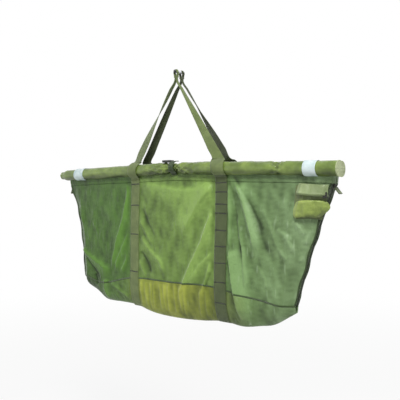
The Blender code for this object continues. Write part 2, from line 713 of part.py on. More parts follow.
def make_zip_side(side, word, hand, edge, parent):
    teeth_near = TEETH_GAP / 2
    teeth_far = teeth_near + TEETH_WIDTH
    tape_near = teeth_far + FIT

    def tape(u, v):
        share = 1 - v
        spot = edge.point(share, -TAPE_WALL / 2)
        panel = abs(panel_point(edge.side * edge.top.x, share).y)
        far = panel - PANEL_WALL / 2 - FIT
        return Vector((spot.x, side * (tape_near + (far - tape_near) * u), spot.z))

    cloth(f"{word}_{hand}_zip_tape", 2, ZIP_ROWS, tape, TAPE_WALL, WEBBING, parent)
    teeth = int((edge.foot - edge.top).length / TEETH_PITCH)

    def row(u, v):
        step = round(v * 2 * teeth)
        spot = edge.point(1 - v, -TAPE_WALL / 2)
        near = teeth_near + (TEETH_RELIEF if step % 2 else 0)
        return Vector((spot.x, side * (near + (teeth_far - near) * u), spot.z))

    cloth(f"{word}_{hand}_zip_teeth", 1, 2 * teeth, row, TEETH_THICKNESS, ZIP, parent)


def make_slider(hand, edge, parent):
    """The slider at the top of its zip. It turns about the middle of the zip's arc."""
    arc_middle = Vector((edge.side * edge.centre.x, 0, edge.centre.y))
    slide = joint(hand + "_slider_pivot", arc_middle, parent)
    frame = edge.frame(SLIDER_LENGTH / 2 / edge.length)
    near = TEETH_THICKNESS / 2 + FIT
    far = near + SLIDER_PLATE
    half_width = SLIDER_WIDTH / 2
    half_length = SLIDER_LENGTH / 2
    slider = soften(block(hand + "_zip_slider", (near, -half_width, -half_length),
                          (far, half_width, half_length)), SLIDER_EDGE)
    inner = soften(block(hand + "_slider_inner_plate", (-far, -half_width, -half_length),
                         (-near, half_width, half_length)), SLIDER_EDGE)
    sunk = near + SLIDER_PLATE / 2
    post_top = half_length - 2 * SLIDER_EDGE
    post = block(hand + "_slider_post", (-sunk, -POST_WIDTH / 2, post_top - POST_LENGTH),
                 (sunk, POST_WIDTH / 2, post_top))
    foot_angle = ARCH_FOOT / ARCH_RADIUS

    def arch_point(u, v):
        step = round(v * (ARCH_STEPS + 2))
        turn_share = (min(max(step, 1), ARCH_STEPS + 1) - 1) / ARCH_STEPS
        turn = -foot_angle + (math.pi + 2 * foot_angle) * turn_share
        wire = ARCH_WIRE / 2 if 0 < step < ARCH_STEPS + 2 else 0
        reach = ARCH_RADIUS + wire * math.cos(math.tau * u)
        return Vector((far + reach * math.sin(turn), wire * math.sin(math.tau * u), reach * math.cos(turn)))

    arch = turned(hand + "_slider_arch", ARCH_SIDES, ARCH_STEPS + 2, arch_point)
    for piece in (slider, inner, post, arch):
        piece.data.transform(frame)
    keep(slider, SLIDER, slide)
    for piece in (inner, post, arch):
        combine(slider, piece, "UNION")
    make_pull_tab(hand, frame, far + TAB_SEAT, slide)


def make_pull_tab(hand, frame, pin, parent):
    """Stiff webbing tab whose slot takes the slider's arch. It swings about its own upper edge."""
    hang = TAB_HANG_LEFT if hand == "left" else TAB_HANG_RIGHT
    turned_frame = frame @ Matrix.Translation((pin, 0, 0)) @ Matrix.Rotation(-hang, 4, "Y")
    swing = joint(hand + "_tab_pivot", turned_frame.translation, parent)
    half = TAB_THICKNESS / 2
    tab = block(hand + "_pull_tab", (-half, -TAB_WIDTH / 2, half), (half, TAB_WIDTH / 2, -TAB_LENGTH))
    arch_reach = math.hypot(TAB_SEAT, ARCH_RADIUS + ARCH_WIRE / 2) + TAB_CLEARANCE
    slot = block(hand + "_tab_slot", (-half - OVERRUN, -TAB_SLOT / 2, -half),
                 (half + OVERRUN, TAB_SLOT / 2, -arch_reach))
    for piece in (tab, slot):
        piece.data.transform(turned_frame)
    combine(keep(tab, WEBBING, swing), slot, "DIFFERENCE")


def buckle_seat():
    """Left end of the buckle and the height of its middle: it lies on the gathers of the left sleeve."""
    length = PLUG_LENGTH + FIT + SOCKET_LENGTH
    left = -NECK_STRAP_WIDTH / 2 - FIT - length
    return left, float_z(left) + sleeve_radius(left) + FIT + BUCKLE_THICKNESS / 2


def make_neck_strap(parent):
    """Webbing from the front of the hem, up over the neck to the buckle."""
    hem_y = HALF_SPACING + PANEL_WALL / 2 + FIT + NECK_STRAP_WALL / 2
    hem_top = float_z(0) - SLEEVE_RADIUS - FIT
    low = GATHER_RADIUS + WRAP_CLEARANCE + NECK_STRAP_WALL / 2
    high = buckle_seat()[1] - float_z(0)
    path = [(hem_y, hem_top - HEM_HEIGHT * NECK_STRAP_HEM_SHARE), (hem_y, hem_top)]
    for share in NECK_STRAP_TURN_SHARES:
        angle = NECK_STRAP_START * (1 - share)
        reach = low + (high - low) * share
        path.append((HALF_SPACING + reach * math.sin(angle), float_z(0) + reach * math.cos(angle)))
    path.append((HALF_SPACING - BUCKLE_WIDTH / 2, float_z(0) + high))

    def place(u, v):
        out, z = path[round(v * (len(path) - 1))]
        return Vector((NECK_STRAP_WIDTH * (0.5 - u), -out, z))

    cloth("neck_strap", 1, len(path) - 1, place, NECK_STRAP_WALL, WEBBING, parent)


def make_buckle(parent):
    """Side-release buckle. Its mouth faces the neck, and local x runs from the mouth into the socket."""
    left, middle_z = buckle_seat()
    mouth = left + SOCKET_LENGTH
    half_width = BUCKLE_WIDTH / 2
    half_thick = BUCKLE_THICKNESS / 2
    room = half_thick - BUCKLE_WALL
    frame = Matrix.Translation((mouth, -HALF_SPACING, middle_z)) @ Matrix.Rotation(math.pi, 4, "Z")

    def placed(name, corner, other_corner):
        made = block(name, corner, other_corner)
        made.data.transform(frame)
        return made

    def webbing_slot(name, near, far):
        return placed(name, (near, -half_width + 2 * BUCKLE_WALL, -half_thick - OVERRUN),
                      (far, half_width - 2 * BUCKLE_WALL, half_thick + OVERRUN))

    socket = soften(placed("buckle_socket", (0, -half_width, -half_thick),
                           (SOCKET_LENGTH, half_width, half_thick)), BUCKLE_EDGE)
    keep(socket, BLACK, parent)
    combine(socket, placed("socket_hollow", (-OVERRUN, -half_width + BUCKLE_WALL, -room),
                           (SOCKET_DEPTH, half_width - BUCKLE_WALL, room)), "DIFFERENCE")
    combine(socket, placed("socket_windows", (WINDOW_START, -half_width - OVERRUN, -room),
                           (SOCKET_DEPTH, half_width + OVERRUN, room)), "DIFFERENCE")
    slot_end = SOCKET_LENGTH - BUCKLE_BAR
    combine(socket, webbing_slot("socket_slot", slot_end - BUCKLE_SLOT, slot_end), "DIFFERENCE")

    plug_start = -FIT - PLUG_LENGTH
    plug = soften(placed("buckle_plug", (plug_start, -half_width, -half_thick),
                         (-FIT, half_width, half_thick)), BUCKLE_EDGE)
    keep(plug, BLACK, parent)
    tongue_room = room - BUCKLE_PLAY
    combine(plug, placed("plug_tongue", (-FIT - BUCKLE_WALL, -TONGUE_WIDTH / 2, -tongue_room),
                         (TONGUE_LENGTH, TONGUE_WIDTH / 2, tongue_room)), "UNION")
    slot_start = plug_start + BUCKLE_BAR
    combine(plug, webbing_slot("plug_slot", slot_start, slot_start + BUCKLE_SLOT), "DIFFERENCE")
    for side, word in ((-1, "front"), (1, "rear")):
        make_buckle_arm(side, word, mouth, middle_z, tongue_room, parent)


def make_buckle_arm(side, word, mouth, middle_z, half_thick, parent):
    """One sprung arm of the plug, with its catch in the socket's window."""
    outer = BUCKLE_WIDTH / 2 - BUCKLE_WALL - BUCKLE_PLAY - ARM_ROOT / 2
    inner = outer - ARM_WIDTH
    middle = (outer + inner) / 2
    tip = SOCKET_DEPTH - BUCKLE_PLAY
    catch = WINDOW_START + BUCKLE_PLAY
    outline = ((FIT, middle - ARM_ROOT), (FIT, middle + ARM_ROOT), (FIT + ARM_ROOT, outer), (catch, outer),
               (catch, outer + ARM_SHOULDER), (tip, BUCKLE_WIDTH / 2), (tip, inner), (FIT + ARM_ROOT, inner))
    press = joint(f"buckle_{word}_arm_pivot",
                  Vector((mouth - FIT - ARM_ROOT, -HALF_SPACING + side * middle, middle_z)), parent)
    curve = bpy.data.curves.new(f"buckle_{word}_arm", "CURVE")
    curve.dimensions = "2D"
    curve.fill_mode = "BOTH"
    curve.extrude = half_thick
    line = curve.splines.new("POLY")
    line.points.add(len(outline) - 1)
    line.use_cyclic_u = True
    for point, (into, out) in zip(line.points, outline):
        point.co = (mouth - into, -HALF_SPACING + side * out, 0, 1)
    arm = keep(bpy.data.objects.new(f"buckle_{word}_arm", curve), BLACK, press)
    arm.location.z = middle_z


def panel_out(z):
    """How far the right end of the front panel stands from the middle plane at height z."""
    top = RIGHT_END.top.y
    fall = (z - top) / (RIGHT_END.foot.y - top)
    return HALF_SPACING + (SEAM_Y - HALF_SPACING) * min(max(fall, 0), 1) + PANEL_WALL / 2 + FIT


def pocket_x(across, z):
    """The pocket's left side is upright, and its right side follows the end edge."""
    lean = RIGHT_END.x(z) - RIGHT_END.x(-FLOAT_DROP - POCKET_TOP)
    return POCKET_X + across * POCKET_WIDTH / 2 + (1 + across) / 2 * lean


def pocket_out(across, z):
    """How far the pocket's front stands from the middle plane. Across runs from -1 to 1."""
    up = 1 - 2 * (-FLOAT_DROP - POCKET_TOP - z) / POCKET_HEIGHT
    crown = (1 - across ** 4) * (1 - min(abs(up), 1) ** 4)
    return panel_out(z) + POCKET_DEPTH * (POCKET_RIM_SHARE + (1 - POCKET_RIM_SHARE) * crown)


def make_pocket(parent):
    top = -FLOAT_DROP - POCKET_TOP

    def pocket(across, up, out):
        z = top - POCKET_HEIGHT * (1 - up) / 2
        y = panel_out(z) if out < 0 else pocket_out(across, z)
        if abs(out) < 1:
            y = panel_out(z) + (pocket_out(across, z) - panel_out(z)) * (1 + out) / 2
        return Vector((pocket_x(across, z), -y, z))

    keep(pouch("stow_pocket", POCKET_CUTS, pocket), POCKET, parent)
    flap_out = LAYER_CLEARANCE + FLAP_WALL / 2

    def flap(u, v):
        across = 2 * u - 1
        z = top - FLAP_HEIGHT * (1 - v)
        return Vector((pocket_x(across, z), -pocket_out(across, z) - flap_out, z))

    hinge = joint("pocket_flap_pivot", Vector((POCKET_X, -pocket_out(1, top) - flap_out, top)), parent)
    cloth("pocket_flap", POCKET_CUTS + 1, FLAP_ROWS, flap, FLAP_WALL, POCKET, hinge)

    def lower_fold(across, up, out):
        z = top - LOWER_FOLD_DROP - LOWER_FOLD_HEIGHT * (1 - up) / 2
        back = pocket_out(across, z) + LAYER_CLEARANCE
        crown = POCKET_RIM_SHARE + (1 - POCKET_RIM_SHARE) * (1 - up ** 2)
        y = -back - LOWER_FOLD_DEPTH * crown * (1 + out) / 2
        return Vector((pocket_x(across, z), y, z))

    keep(pouch("pocket_lower_fold", POCKET_CUTS, lower_fold), POCKET, parent)
    keeper_top = -FLOAT_DROP - KEEPER_TOP
    keeper_foot = keeper_top - KEEPER_HEIGHT
    keeper_back = -panel_out(keeper_foot)
    keeper = block("webbing_keeper", (KEEPER_X - KEEPER_WIDTH / 2, keeper_back, keeper_foot),
                   (KEEPER_X + KEEPER_WIDTH / 2, keeper_back - KEEPER_DEPTH, keeper_top))
    keep(soften(keeper, KEEPER_EDGE), BLACK, parent)


def make_side(side, word):
    handle_joint = joint(word + "_handle_pivot", Vector((0, side * LOOP_GAP / 2, PIVOT_Z)))
    side_place = Vector((0, side * HALF_SPACING, float_z(STRAP_X)))
    side_joint = joint(word + "_side_pivot", side_place, handle_joint)
    make_handle(side, word, handle_joint)
    make_float(side, word, side_joint)
    make_cloth(side, word, side_joint)
    for hand, edge in (("left", LEFT_END), ("right", RIGHT_END)):
        make_lower_strap(side, word, hand, edge.side, side_joint)
        make_zip_side(side, word, hand, edge, side_joint)
    return side_joint


make_bar()
front = make_side(-1, "front")
make_side(1, "rear")
for hand, edge in (("left", LEFT_END), ("right", RIGHT_END)):
    make_slider(hand, edge, front)
make_neck_strap(front)
make_buckle(front)
make_pocket(front)
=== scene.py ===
# %% [markdown]
# # A weigh sling
#
# This lesson dresses a weigh sling: a green mesh bag between two foam floats, hung by two webbing loops
# from a short steel bar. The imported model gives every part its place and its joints. Here each soft part
# gets its real folds, seams and weave, and each rigid part its finish.
#
# The order is the maker's: camera and light first, then the finishes, the cloth, the webbing, the floats,
# and last the zips, the pocket and the small fittings.

import json
import math
from functools import partial

import bpy
import numpy as np
from mathutils import Matrix, Vector


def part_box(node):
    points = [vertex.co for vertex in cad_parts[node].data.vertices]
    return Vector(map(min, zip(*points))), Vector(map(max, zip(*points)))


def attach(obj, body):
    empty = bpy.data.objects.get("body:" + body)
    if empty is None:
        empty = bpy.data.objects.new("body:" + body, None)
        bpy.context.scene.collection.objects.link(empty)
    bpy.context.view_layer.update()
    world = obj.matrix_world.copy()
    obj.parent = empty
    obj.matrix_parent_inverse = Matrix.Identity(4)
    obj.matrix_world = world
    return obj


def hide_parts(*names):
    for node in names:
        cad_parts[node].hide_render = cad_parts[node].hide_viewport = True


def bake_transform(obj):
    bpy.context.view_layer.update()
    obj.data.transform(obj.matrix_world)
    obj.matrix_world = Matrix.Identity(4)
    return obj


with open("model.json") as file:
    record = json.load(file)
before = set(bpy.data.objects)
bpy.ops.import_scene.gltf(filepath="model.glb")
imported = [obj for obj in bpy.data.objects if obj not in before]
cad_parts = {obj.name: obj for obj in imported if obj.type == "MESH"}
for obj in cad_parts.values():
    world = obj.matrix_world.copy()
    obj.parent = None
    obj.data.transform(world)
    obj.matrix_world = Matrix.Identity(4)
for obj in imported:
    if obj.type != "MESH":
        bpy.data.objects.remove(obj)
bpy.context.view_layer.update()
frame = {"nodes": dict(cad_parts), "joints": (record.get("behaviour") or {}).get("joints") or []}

# %% [markdown]
# ## The camera
#
# The photograph looks at the sling from its front and right, almost level. A lens of 51 mm on a sensor of
# 36 mm matches how much larger the near, right end of the float looks than the far, left one.

# %% Camera
CAMERA_PLACE = Vector((1.254, -1.437, -0.398))
CAMERA_AZIMUTH = math.radians(39)
CAMERA_TILT = math.radians(0.91)


def add_camera():
    bpy.ops.object.select_all(action="DESELECT")
    level = math.cos(CAMERA_TILT)
    look = Vector((-math.sin(CAMERA_AZIMUTH) * level, math.cos(CAMERA_AZIMUTH) * level, -math.sin(CAMERA_TILT)))
    turn = look.to_track_quat("-Z", "Y").to_euler()
    bpy.ops.object.camera_add(location=CAMERA_PLACE, rotation=turn)
    camera = bpy.context.object
    camera.name = "camera"
    camera.data.lens = 51.0
    camera.data.sensor_width = 36.0
    camera.data.clip_end = 50.0
    bpy.context.scene.camera = camera


add_camera()
bpy.context.scene.view_settings.view_transform = "Standard"
print("camera set", CAMERA_PLACE[:])

# %% [markdown]
# ## Helpers for finishes
#
# A colour is picked on a screen as sRGB, but a shader works with linear light, so one function turns a hex
# code to linear values. One more function adds a node of any kind, with its settings and its links.

# %% Colour and node helpers
def colour(code):
    """A hex colour such as 7f8c4a, as the linear colour that a shader needs."""
    shades = [int(code[i:i + 2], 16) / 255 for i in (0, 2, 4)]
    return [s / 12.92 if s <= 0.04045 else ((s + 0.055) / 1.055) ** 2.4 for s in shades] + [1.0]


def link(finish, source, socket):
    """Links a node's first output, or one output of a node, to a socket."""
    if isinstance(source, bpy.types.Node):
        source = source.outputs[0]
    finish.node_tree.links.new(source, socket)


def add_node(finish, kind, inputs=None, stops=(), **settings):
    """Adds a node to a finish. An input is a value, an output of another node, or a node for its first output.
    Stops are the places, from 0 to 1, and the hex colours of a colour ramp."""
    node = finish.node_tree.nodes.new("ShaderNode" + kind)
    for name, value in settings.items():
        setattr(node, name, value)
    for name, value in (inputs or {}).items():
        if isinstance(value, (bpy.types.Node, bpy.types.NodeSocket)):
            link(finish, value, node.inputs[name])
        else:
            node.inputs[name].default_value = value
    for number, (place, code) in enumerate(stops):
        line = node.color_ramp.elements
        element = line[number] if number < len(line) else line.new(1.0)
        element.position = place
        element.color = colour(code)
    return node


def new_finish(name, **shader_inputs):
    """A new finish: its main shader, the object coordinates for its patterns, and add_node for it."""
    finish = bpy.data.materials.new(name)
    finish.use_nodes = True
    shader = finish.node_tree.nodes["Principled BSDF"]
    for socket, value in shader_inputs.items():
        shader.inputs[socket.replace("_", " ")].default_value = value
    add = partial(add_node, finish)
    return finish, shader, add("TexCoord").outputs["Object"], add


print("olive as linear light:", [round(c, 3) for c in colour("7f8c4a")])

# %% [markdown]
# ## Floor and light
#
# The sling hangs clear of a plain pale floor. Camera, mirror and glass rays see the surroundings as white,
# while the light on the sling comes from a dim sky and three lamps, so that its folds keep their shadows.
# Near the sling the floor still shows its soft shadow. Further out it fades to white, so that there is no
# horizon.

# %% Floor, sky and lamps
FLOOR_Z = -1.55
FLOOR_SIZE = 40.0
WHITE = {"Color": (1, 1, 1, 1), "Strength": 1.0}


def seen_directly(finish):
    """1 for a ray from the camera, off a mirror or through glass, and 0 for one that only carries light."""
    path = add_node(finish, "LightPath").outputs
    both = add_node(finish, "Math", {0: path["Is Camera Ray"], 1: path["Is Glossy Ray"]}, operation="MAXIMUM")
    return add_node(finish, "Math", {0: both, 1: path["Is Transmission Ray"]}, operation="MAXIMUM")


def make_floor():
    bpy.ops.object.select_all(action="DESELECT")
    bpy.ops.mesh.primitive_plane_add(size=FLOOR_SIZE, location=(0, 0, FLOOR_Z))
    floor = bpy.context.object
    floor.name = "studio_floor"
    finish, shader, places, add = new_finish("pale_studio_paper", Base_Color=colour("f2f2f0"), Roughness=0.9)
    radius = add("VectorMath", {0: places}, operation="LENGTH").outputs["Value"]
    plain = add("MapRange", {"Value": radius, "From Min": 1.0, "From Max": 5.0, "To Min": 0.88, "To Max": 1.0},
                interpolation_type="SMOOTHSTEP")
    share = add("Math", {0: seen_directly(finish), 1: plain}, operation="MULTIPLY")
    mix = add("MixShader", {0: share, 1: shader, 2: add("Emission", WHITE)})
    link(finish, mix, finish.node_tree.nodes["Material Output"].inputs["Surface"])
    floor.data.materials.append(finish)


def make_sky():
    world = bpy.data.worlds.new("studio_sky")
    bpy.context.scene.world = world
    world.use_nodes = True
    lit = world.node_tree.nodes["Background"]
    lit.inputs["Color"].default_value = (0.95, 0.98, 1.0, 1)
    lit.inputs["Strength"].default_value = 0.26
    mix = add_node(world, "MixShader", {0: seen_directly(world), 1: lit, 2: add_node(world, "Background", WHITE)})
    link(world, mix, world.node_tree.nodes["World Output"].inputs["Surface"])


# place in metres, size in metres, power in watts
LAMPS = {
    "key_lamp": ((1.6, -1.7, 2.0), 0.8, 95.0),
    "fill_lamp": ((-2.2, -2.0, 0.1), 2.0, 12.0),
    "back_lamp": ((0.4, 2.2, 1.2), 2.0, 12.0),
}
BAG_MIDDLE = Vector((0, 0, -0.42))


def add_lamps():
    for name, (place, size, power) in LAMPS.items():
        turn = (BAG_MIDDLE - Vector(place)).to_track_quat("-Z", "Y").to_euler()
        bpy.ops.object.light_add(type="AREA", location=place, rotation=turn)
        lamp = bpy.context.object
        lamp.name = name
        lamp.data.size = size
        lamp.data.energy = power


make_floor()
make_sky()
add_lamps()
print("lamps:", ", ".join(LAMPS))

# %% [markdown]
# ## Cloth finishes
#
# The floats' sleeves are polyurethane-coated nylon taffeta: a tight plain weave with a satin gloss that
# breaks up over small crumples. The real thread spacing of 0.2 mm is too fine to show, so it is drawn at
# 1.2 mm. The bag is a fine soft mesh. Light comes through it, and that light is painted into its colour:
# paler between the straps, where the cloth hangs single, darker at the left, and greyer on the right as a
# painted sheen where its net catches the light, with pale creases painted on it as highlights. The mesh
# carries an attribute from the height of its folds, by which its finish paints shade into the valleys,
# with a painted shadow under the float. The sleeves carry one for painted shade in their dimples and on
# their undersides.

# %% Satin nylon
WAVE_TURN = math.pi / 10  # a wave pattern's scale is this over the spacing of its bands


def complete(finish, shader, tone, *layers):
    """Feeds a finish its colour, and its relief in layers: each is a height and its depth in metres."""
    link(finish, tone, shader.inputs["Base Color"])
    below = {}
    for height, depth in layers:
        bump = add_node(finish, "Bump", {"Height": height, "Distance": depth, "Strength": 1.0, **below})
        below = {"Normal": bump}
    link(finish, bump, shader.inputs["Normal"])
    return finish


def make_nylon(name, dark, middle, light, roughness):
    """Coated taffeta: a clouded colour, painted shade in the dimples and underneath where a piece carries it, and a
    gloss broken up by crumples and weave.
    """
    finish, shader, places, add = new_finish(name, Roughness=roughness, Sheen_Weight=0.2, Sheen_Roughness=0.4)
    cloudy = add("TexNoise", {"Vector": places, "Scale": 1 / 0.050, "Detail": 4.0, "Roughness": 0.55})
    tone = add("ValToRGB", {"Fac": cloudy}, ((0.32, dark), (0.50, middle), (0.68, light)))
    # painted shade: the sleeves' dimples and undersides are darkened by an attribute they carry
    painted_shade = add("Attribute", attribute_name="painted_shade").outputs["Fac"]
    shade = add("ValToRGB", {"Fac": painted_shade}, ((0.0, "ffffff"), (1.0, "5c6450")))
    shaded = add("Mix", {"Factor": 1.0, 6: tone, 7: shade}, data_type="RGBA", blend_type="MULTIPLY")
    weave = add("TexWave", {"Vector": places, "Scale": WAVE_TURN / 0.0012, "Distortion": 1.5},
                wave_type="BANDS", bands_direction="X").outputs["Fac"]
    crumple = add("TexNoise", {"Vector": places, "Scale": 1 / 0.016, "Detail": 3.0, "Roughness": 0.6})
    return complete(finish, shader, shaded.outputs[2], (crumple, 0.0022), (weave, 0.00006))


SATIN_NYLON = make_nylon("coated_nylon_taffeta", "5a6e2a", "6e8438", "889e4a", 0.27)
# the right end caps get a paler copy of the nylon, as painted light on the ends that face the key lamp
LIT_CAP_NYLON = make_nylon("end_cap_nylon_painted_light", "96a070", "aab484", "bac496", 0.55)
# copies of one pocket nylon: the pouch darkened as painted shade between the folds, the flap and the lower fold paler
# as painted light
SHADED_POCKET_NYLON = make_nylon("pocket_taffeta_painted_shade", "485428", "566434", "667440", 0.45)
LIT_FLAP_NYLON = make_nylon("pocket_flap_taffeta_painted_light", "7a8a5c", "8a9a6a", "9aaa78", 0.42)
LIT_FOLD_NYLON = make_nylon("pocket_fold_taffeta_painted_light", "6a7a38", "8c9e4c", "b0c06c", 0.36)
print("nylon finishes made")

# %% Fine mesh
# painted light along the sling, from its left end at 0 to its right one at 1: darker at the left, paler
# where light comes through between the straps, and greyer on the right as a painted sheen
MESH_PAINTED_LIGHT = ((0.04, "507529"), (0.325, "628c3a"), (0.36, "84a452"), (0.64, "90b05a"),
              (0.675, "7ea060"), (0.92, "9cb888"))
BASE_PAINTED_LIGHT = ((0.15, "4c6c34"), (0.27, "6c9048"), (0.325, "7c9c4c"), (0.36, "a8b44c"), (0.50, "b4bc50"),
              (0.63, "8c983e"), (0.675, "7c8e4c"), (0.74, "7e9c60"), (0.85, "92ae7e"))
MESH_HALF = 0.62


def make_mesh(name, stops, roughness):
    """A soft mesh, with painted light toned along the sling, painted shade in its valleys and painted highlights on
    the pale creases of its net.
    """
    finish, shader, places, add = new_finish(name, Roughness=roughness, Sheen_Weight=0.3, Sheen_Roughness=0.35,
                                             Specular_IOR_Level=0.35)
    along = add("SeparateXYZ", {0: places}).outputs["X"]
    cloudy = add("TexNoise", {"Vector": places, "Scale": 1 / 0.06, "Detail": 3.0})
    drift = add("MapRange", {"Value": cloudy, "To Min": -0.02, "To Max": 0.02})
    shifted = add("Math", {0: along, 1: drift}, operation="ADD")
    share = add("MapRange", {"Value": shifted, "From Min": -MESH_HALF, "From Max": MESH_HALF})
    tone = add("ValToRGB", {"Fac": share}, stops)
    # painted shade: the valleys of the folds darker, the crests at full colour
    painted_fold_shade = add("Attribute", attribute_name="painted_fold_shade").outputs["Fac"]
    shade = add("ValToRGB", {"Fac": painted_fold_shade}, ((0.08, "666e58"), (0.45, "c4c8bc"), (0.90, "ffffff")))
    folded = add("Mix", {"Factor": 1.0, 6: tone, 7: shade}, data_type="RGBA", blend_type="MULTIPLY")
    slanted = add("Mapping", {"Vector": places, "Rotation": (0, 0.6, 0), "Scale": (1.0, 1.0, 0.30)})
    creases = add("TexNoise", {"Vector": slanted, "Scale": 1 / 0.012, "Detail": 4.0, "Roughness": 0.6},
                  noise_type="RIDGED_MULTIFRACTAL", normalize=True)
    # painted highlights: pale lines on the creases, strongest on the right
    crease_highlight_along = add("MapRange", {"Value": along, "From Min": 0.16, "From Max": 0.30, "To Min": 0.10, "To Max": 0.50})
    ridge = add("ValToRGB", {"Fac": creases}, ((0.20, "000000"), (0.70, "ffffff")))
    painted_crease_highlight = add("Math", {0: ridge, 1: crease_highlight_along}, operation="MULTIPLY")
    mixed = add("Mix", {"Factor": painted_crease_highlight, 6: folded.outputs[2], 7: colour("b0c8a0")}, data_type="RGBA")
    net = add("TexVoronoi", {"Vector": places, "Scale": 1 / 0.012}, feature="DISTANCE_TO_EDGE")
    fine = add("TexNoise", {"Vector": places, "Scale": 1 / 0.0035, "Detail": 4.0, "Roughness": 0.7})
    broad = add("TexNoise", {"Vector": slanted, "Scale": 1 / 0.020, "Detail": 3.0, "Roughness": 0.6})
    return complete(finish, shader, mixed.outputs[2], (net, 0.0010), (fine, 0.0006), (creases, 0.0020),
                    (broad, 0.0022))


SIDE_MESH = make_mesh("fine_side_mesh", MESH_PAINTED_LIGHT, 0.48)
BASE_MESH = make_mesh("sheer_base_mesh", BASE_PAINTED_LIGHT, 0.50)
print("mesh finishes made")

# %% [markdown]
# ## Webbing, tape and hard finishes
#
# The straps are polypropylene webbing with ribs across it. Its pattern is laid in the strap's own flat
# map, in metres, so that the ribs turn with the strap. The ribs are 1.6 mm apart on the real strap and
# drawn at 2.4 mm to show. The hard parts are brushed steel, black acetal and dark painted zinc.

# %% Webbing
def make_webbing(name, dark, light, rib=0.0024):
    """Woven webbing or tape: dull and slightly furry, worn in patches, ribbed across and corded along."""
    finish, shader, places, add = new_finish(name, Roughness=0.72, Sheen_Weight=0.3, Sheen_Roughness=0.5,
                                             Specular_IOR_Level=0.3)
    flat = add("UVMap")
    ribs = add("TexWave", {"Vector": flat, "Scale": WAVE_TURN / rib, "Distortion": 0.6, "Detail": 1.0},
               wave_type="BANDS", bands_direction="Y").outputs["Fac"]
    cords = add("TexWave", {"Vector": flat, "Scale": WAVE_TURN / 0.004},
                wave_type="BANDS", bands_direction="X").outputs["Fac"]
    worn = add("TexNoise", {"Vector": places, "Scale": 1 / 0.03, "Detail": 4.0, "Roughness": 0.6})
    tone = add("ValToRGB", {"Fac": worn}, ((0.32, dark), (0.68, light)))
    # painted shade: the grooves between the ribs darkened
    shade = add("ValToRGB", {"Fac": ribs}, ((0.0, "a8a8a8"), (1.0, "ffffff")))
    mixed = add("Mix", {"Factor": 0.5, 6: tone, 7: shade}, data_type="RGBA", blend_type="MULTIPLY")
    return complete(finish, shader, mixed.outputs[2], (ribs, 0.0005), (cords, 0.0003))


# lit and shaded copies of one webbing: the front handle and the left lower straps get the lighter one as painted
# light, the rear handle and the right lower straps darker ones as painted shade
LIT_WEBBING = make_webbing("olive_webbing_painted_light", "6e7e48", "84945a")
SHADED_REAR_WEBBING = make_webbing("olive_webbing_painted_shade", "3e462a", "505a36")
SHADED_STRAP_WEBBING = make_webbing("lower_strap_webbing_painted_shade", "4e5c34", "5e6c40")
BINDING_WEBBING = make_webbing("dark_binding_tape", "2e401a", "40562a", 0.0016)
SEAM_WEBBING = make_webbing("seam_binding_tape", "3e5226", "50683a", 0.0016)
THREAD = make_webbing("bonded_dark_thread", "262e18", "363e22", 0.001)
TAB_WEBBING = make_webbing("pull_tab_webbing", "66744a", "869468", 0.002)
print("webbing finishes made")


# %% Tape, steel, plastic and painted metal
def make_reflective():
    """Glass-bead tape: near white, with a slight blue cast and fine bead grain."""
    finish, shader, places, add = new_finish("glass_bead_reflective_tape", Roughness=0.34, Coat_Weight=0.3,
                                             Coat_Roughness=0.2)
    cloudy = add("TexNoise", {"Vector": places, "Scale": 1 / 0.02, "Detail": 3.0})
    beads = add("TexNoise", {"Vector": places, "Scale": 1 / 0.0016, "Detail": 1.0})
    tone = add("ValToRGB", {"Fac": cloudy}, ((0.3, "b4cacc"), (0.6, "dceaea")))
    return complete(finish, shader, tone, (beads, 0.0001), (cloudy, 0.001))


def make_steel():
    """Stainless rod, turned and brushed: fine rings round the bar."""
    finish, shader, places, add = new_finish("brushed_stainless_steel", Metallic=1.0, Roughness=0.28)
    rings = add("Mapping", {"Vector": places, "Scale": (40, 1200, 40)})
    lines = add("TexNoise", {"Vector": rings, "Scale": 1.0})
    tone = add("ValToRGB", {"Fac": lines}, ((0.3, "a8aab0"), (0.7, "d6d8dc")))
    return complete(finish, shader, tone, (lines, 0.00003))


def make_hard(name, dark, light, grain, **shader_inputs):
    """Moulded or painted finish with a fine grain and slightly paler high spots."""
    finish, shader, places, add = new_finish(name, **shader_inputs)
    speckle = add("TexNoise", {"Vector": places, "Scale": 1 / grain, "Detail": 3.0, "Roughness": 0.6})
    tone = add("ValToRGB", {"Fac": speckle}, ((0.35, dark), (0.7, light)))
    return complete(finish, shader, tone, (speckle, 0.0001))


REFLECTIVE = make_reflective()
STEEL = make_steel()
ACETAL = make_hard("moulded_black_acetal", "15170f", "24271a", 0.0015, Roughness=0.42)
BALL_NYLON = make_hard("black_nylon_caps", "101010", "1e1e1e", 0.0012, Roughness=0.5)
ZIP_TEETH = make_hard("black_nylon_zip_coil", "1a1f10", "2a301a", 0.001, Roughness=0.4)
ZIP_METAL = make_hard("dark_painted_zinc", "24261c", "3c3e30", 0.0012, Roughness=0.38, Metallic=0.4)
print("hard finishes made")

# %% [markdown]
# ## The lines that the cloth follows
#
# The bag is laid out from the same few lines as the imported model: the floats' drooping axis, the zip's arc
# at each end, the base seam and the lowest line. Every sheet, strap and seam below reads these lines, so
# that they meet.

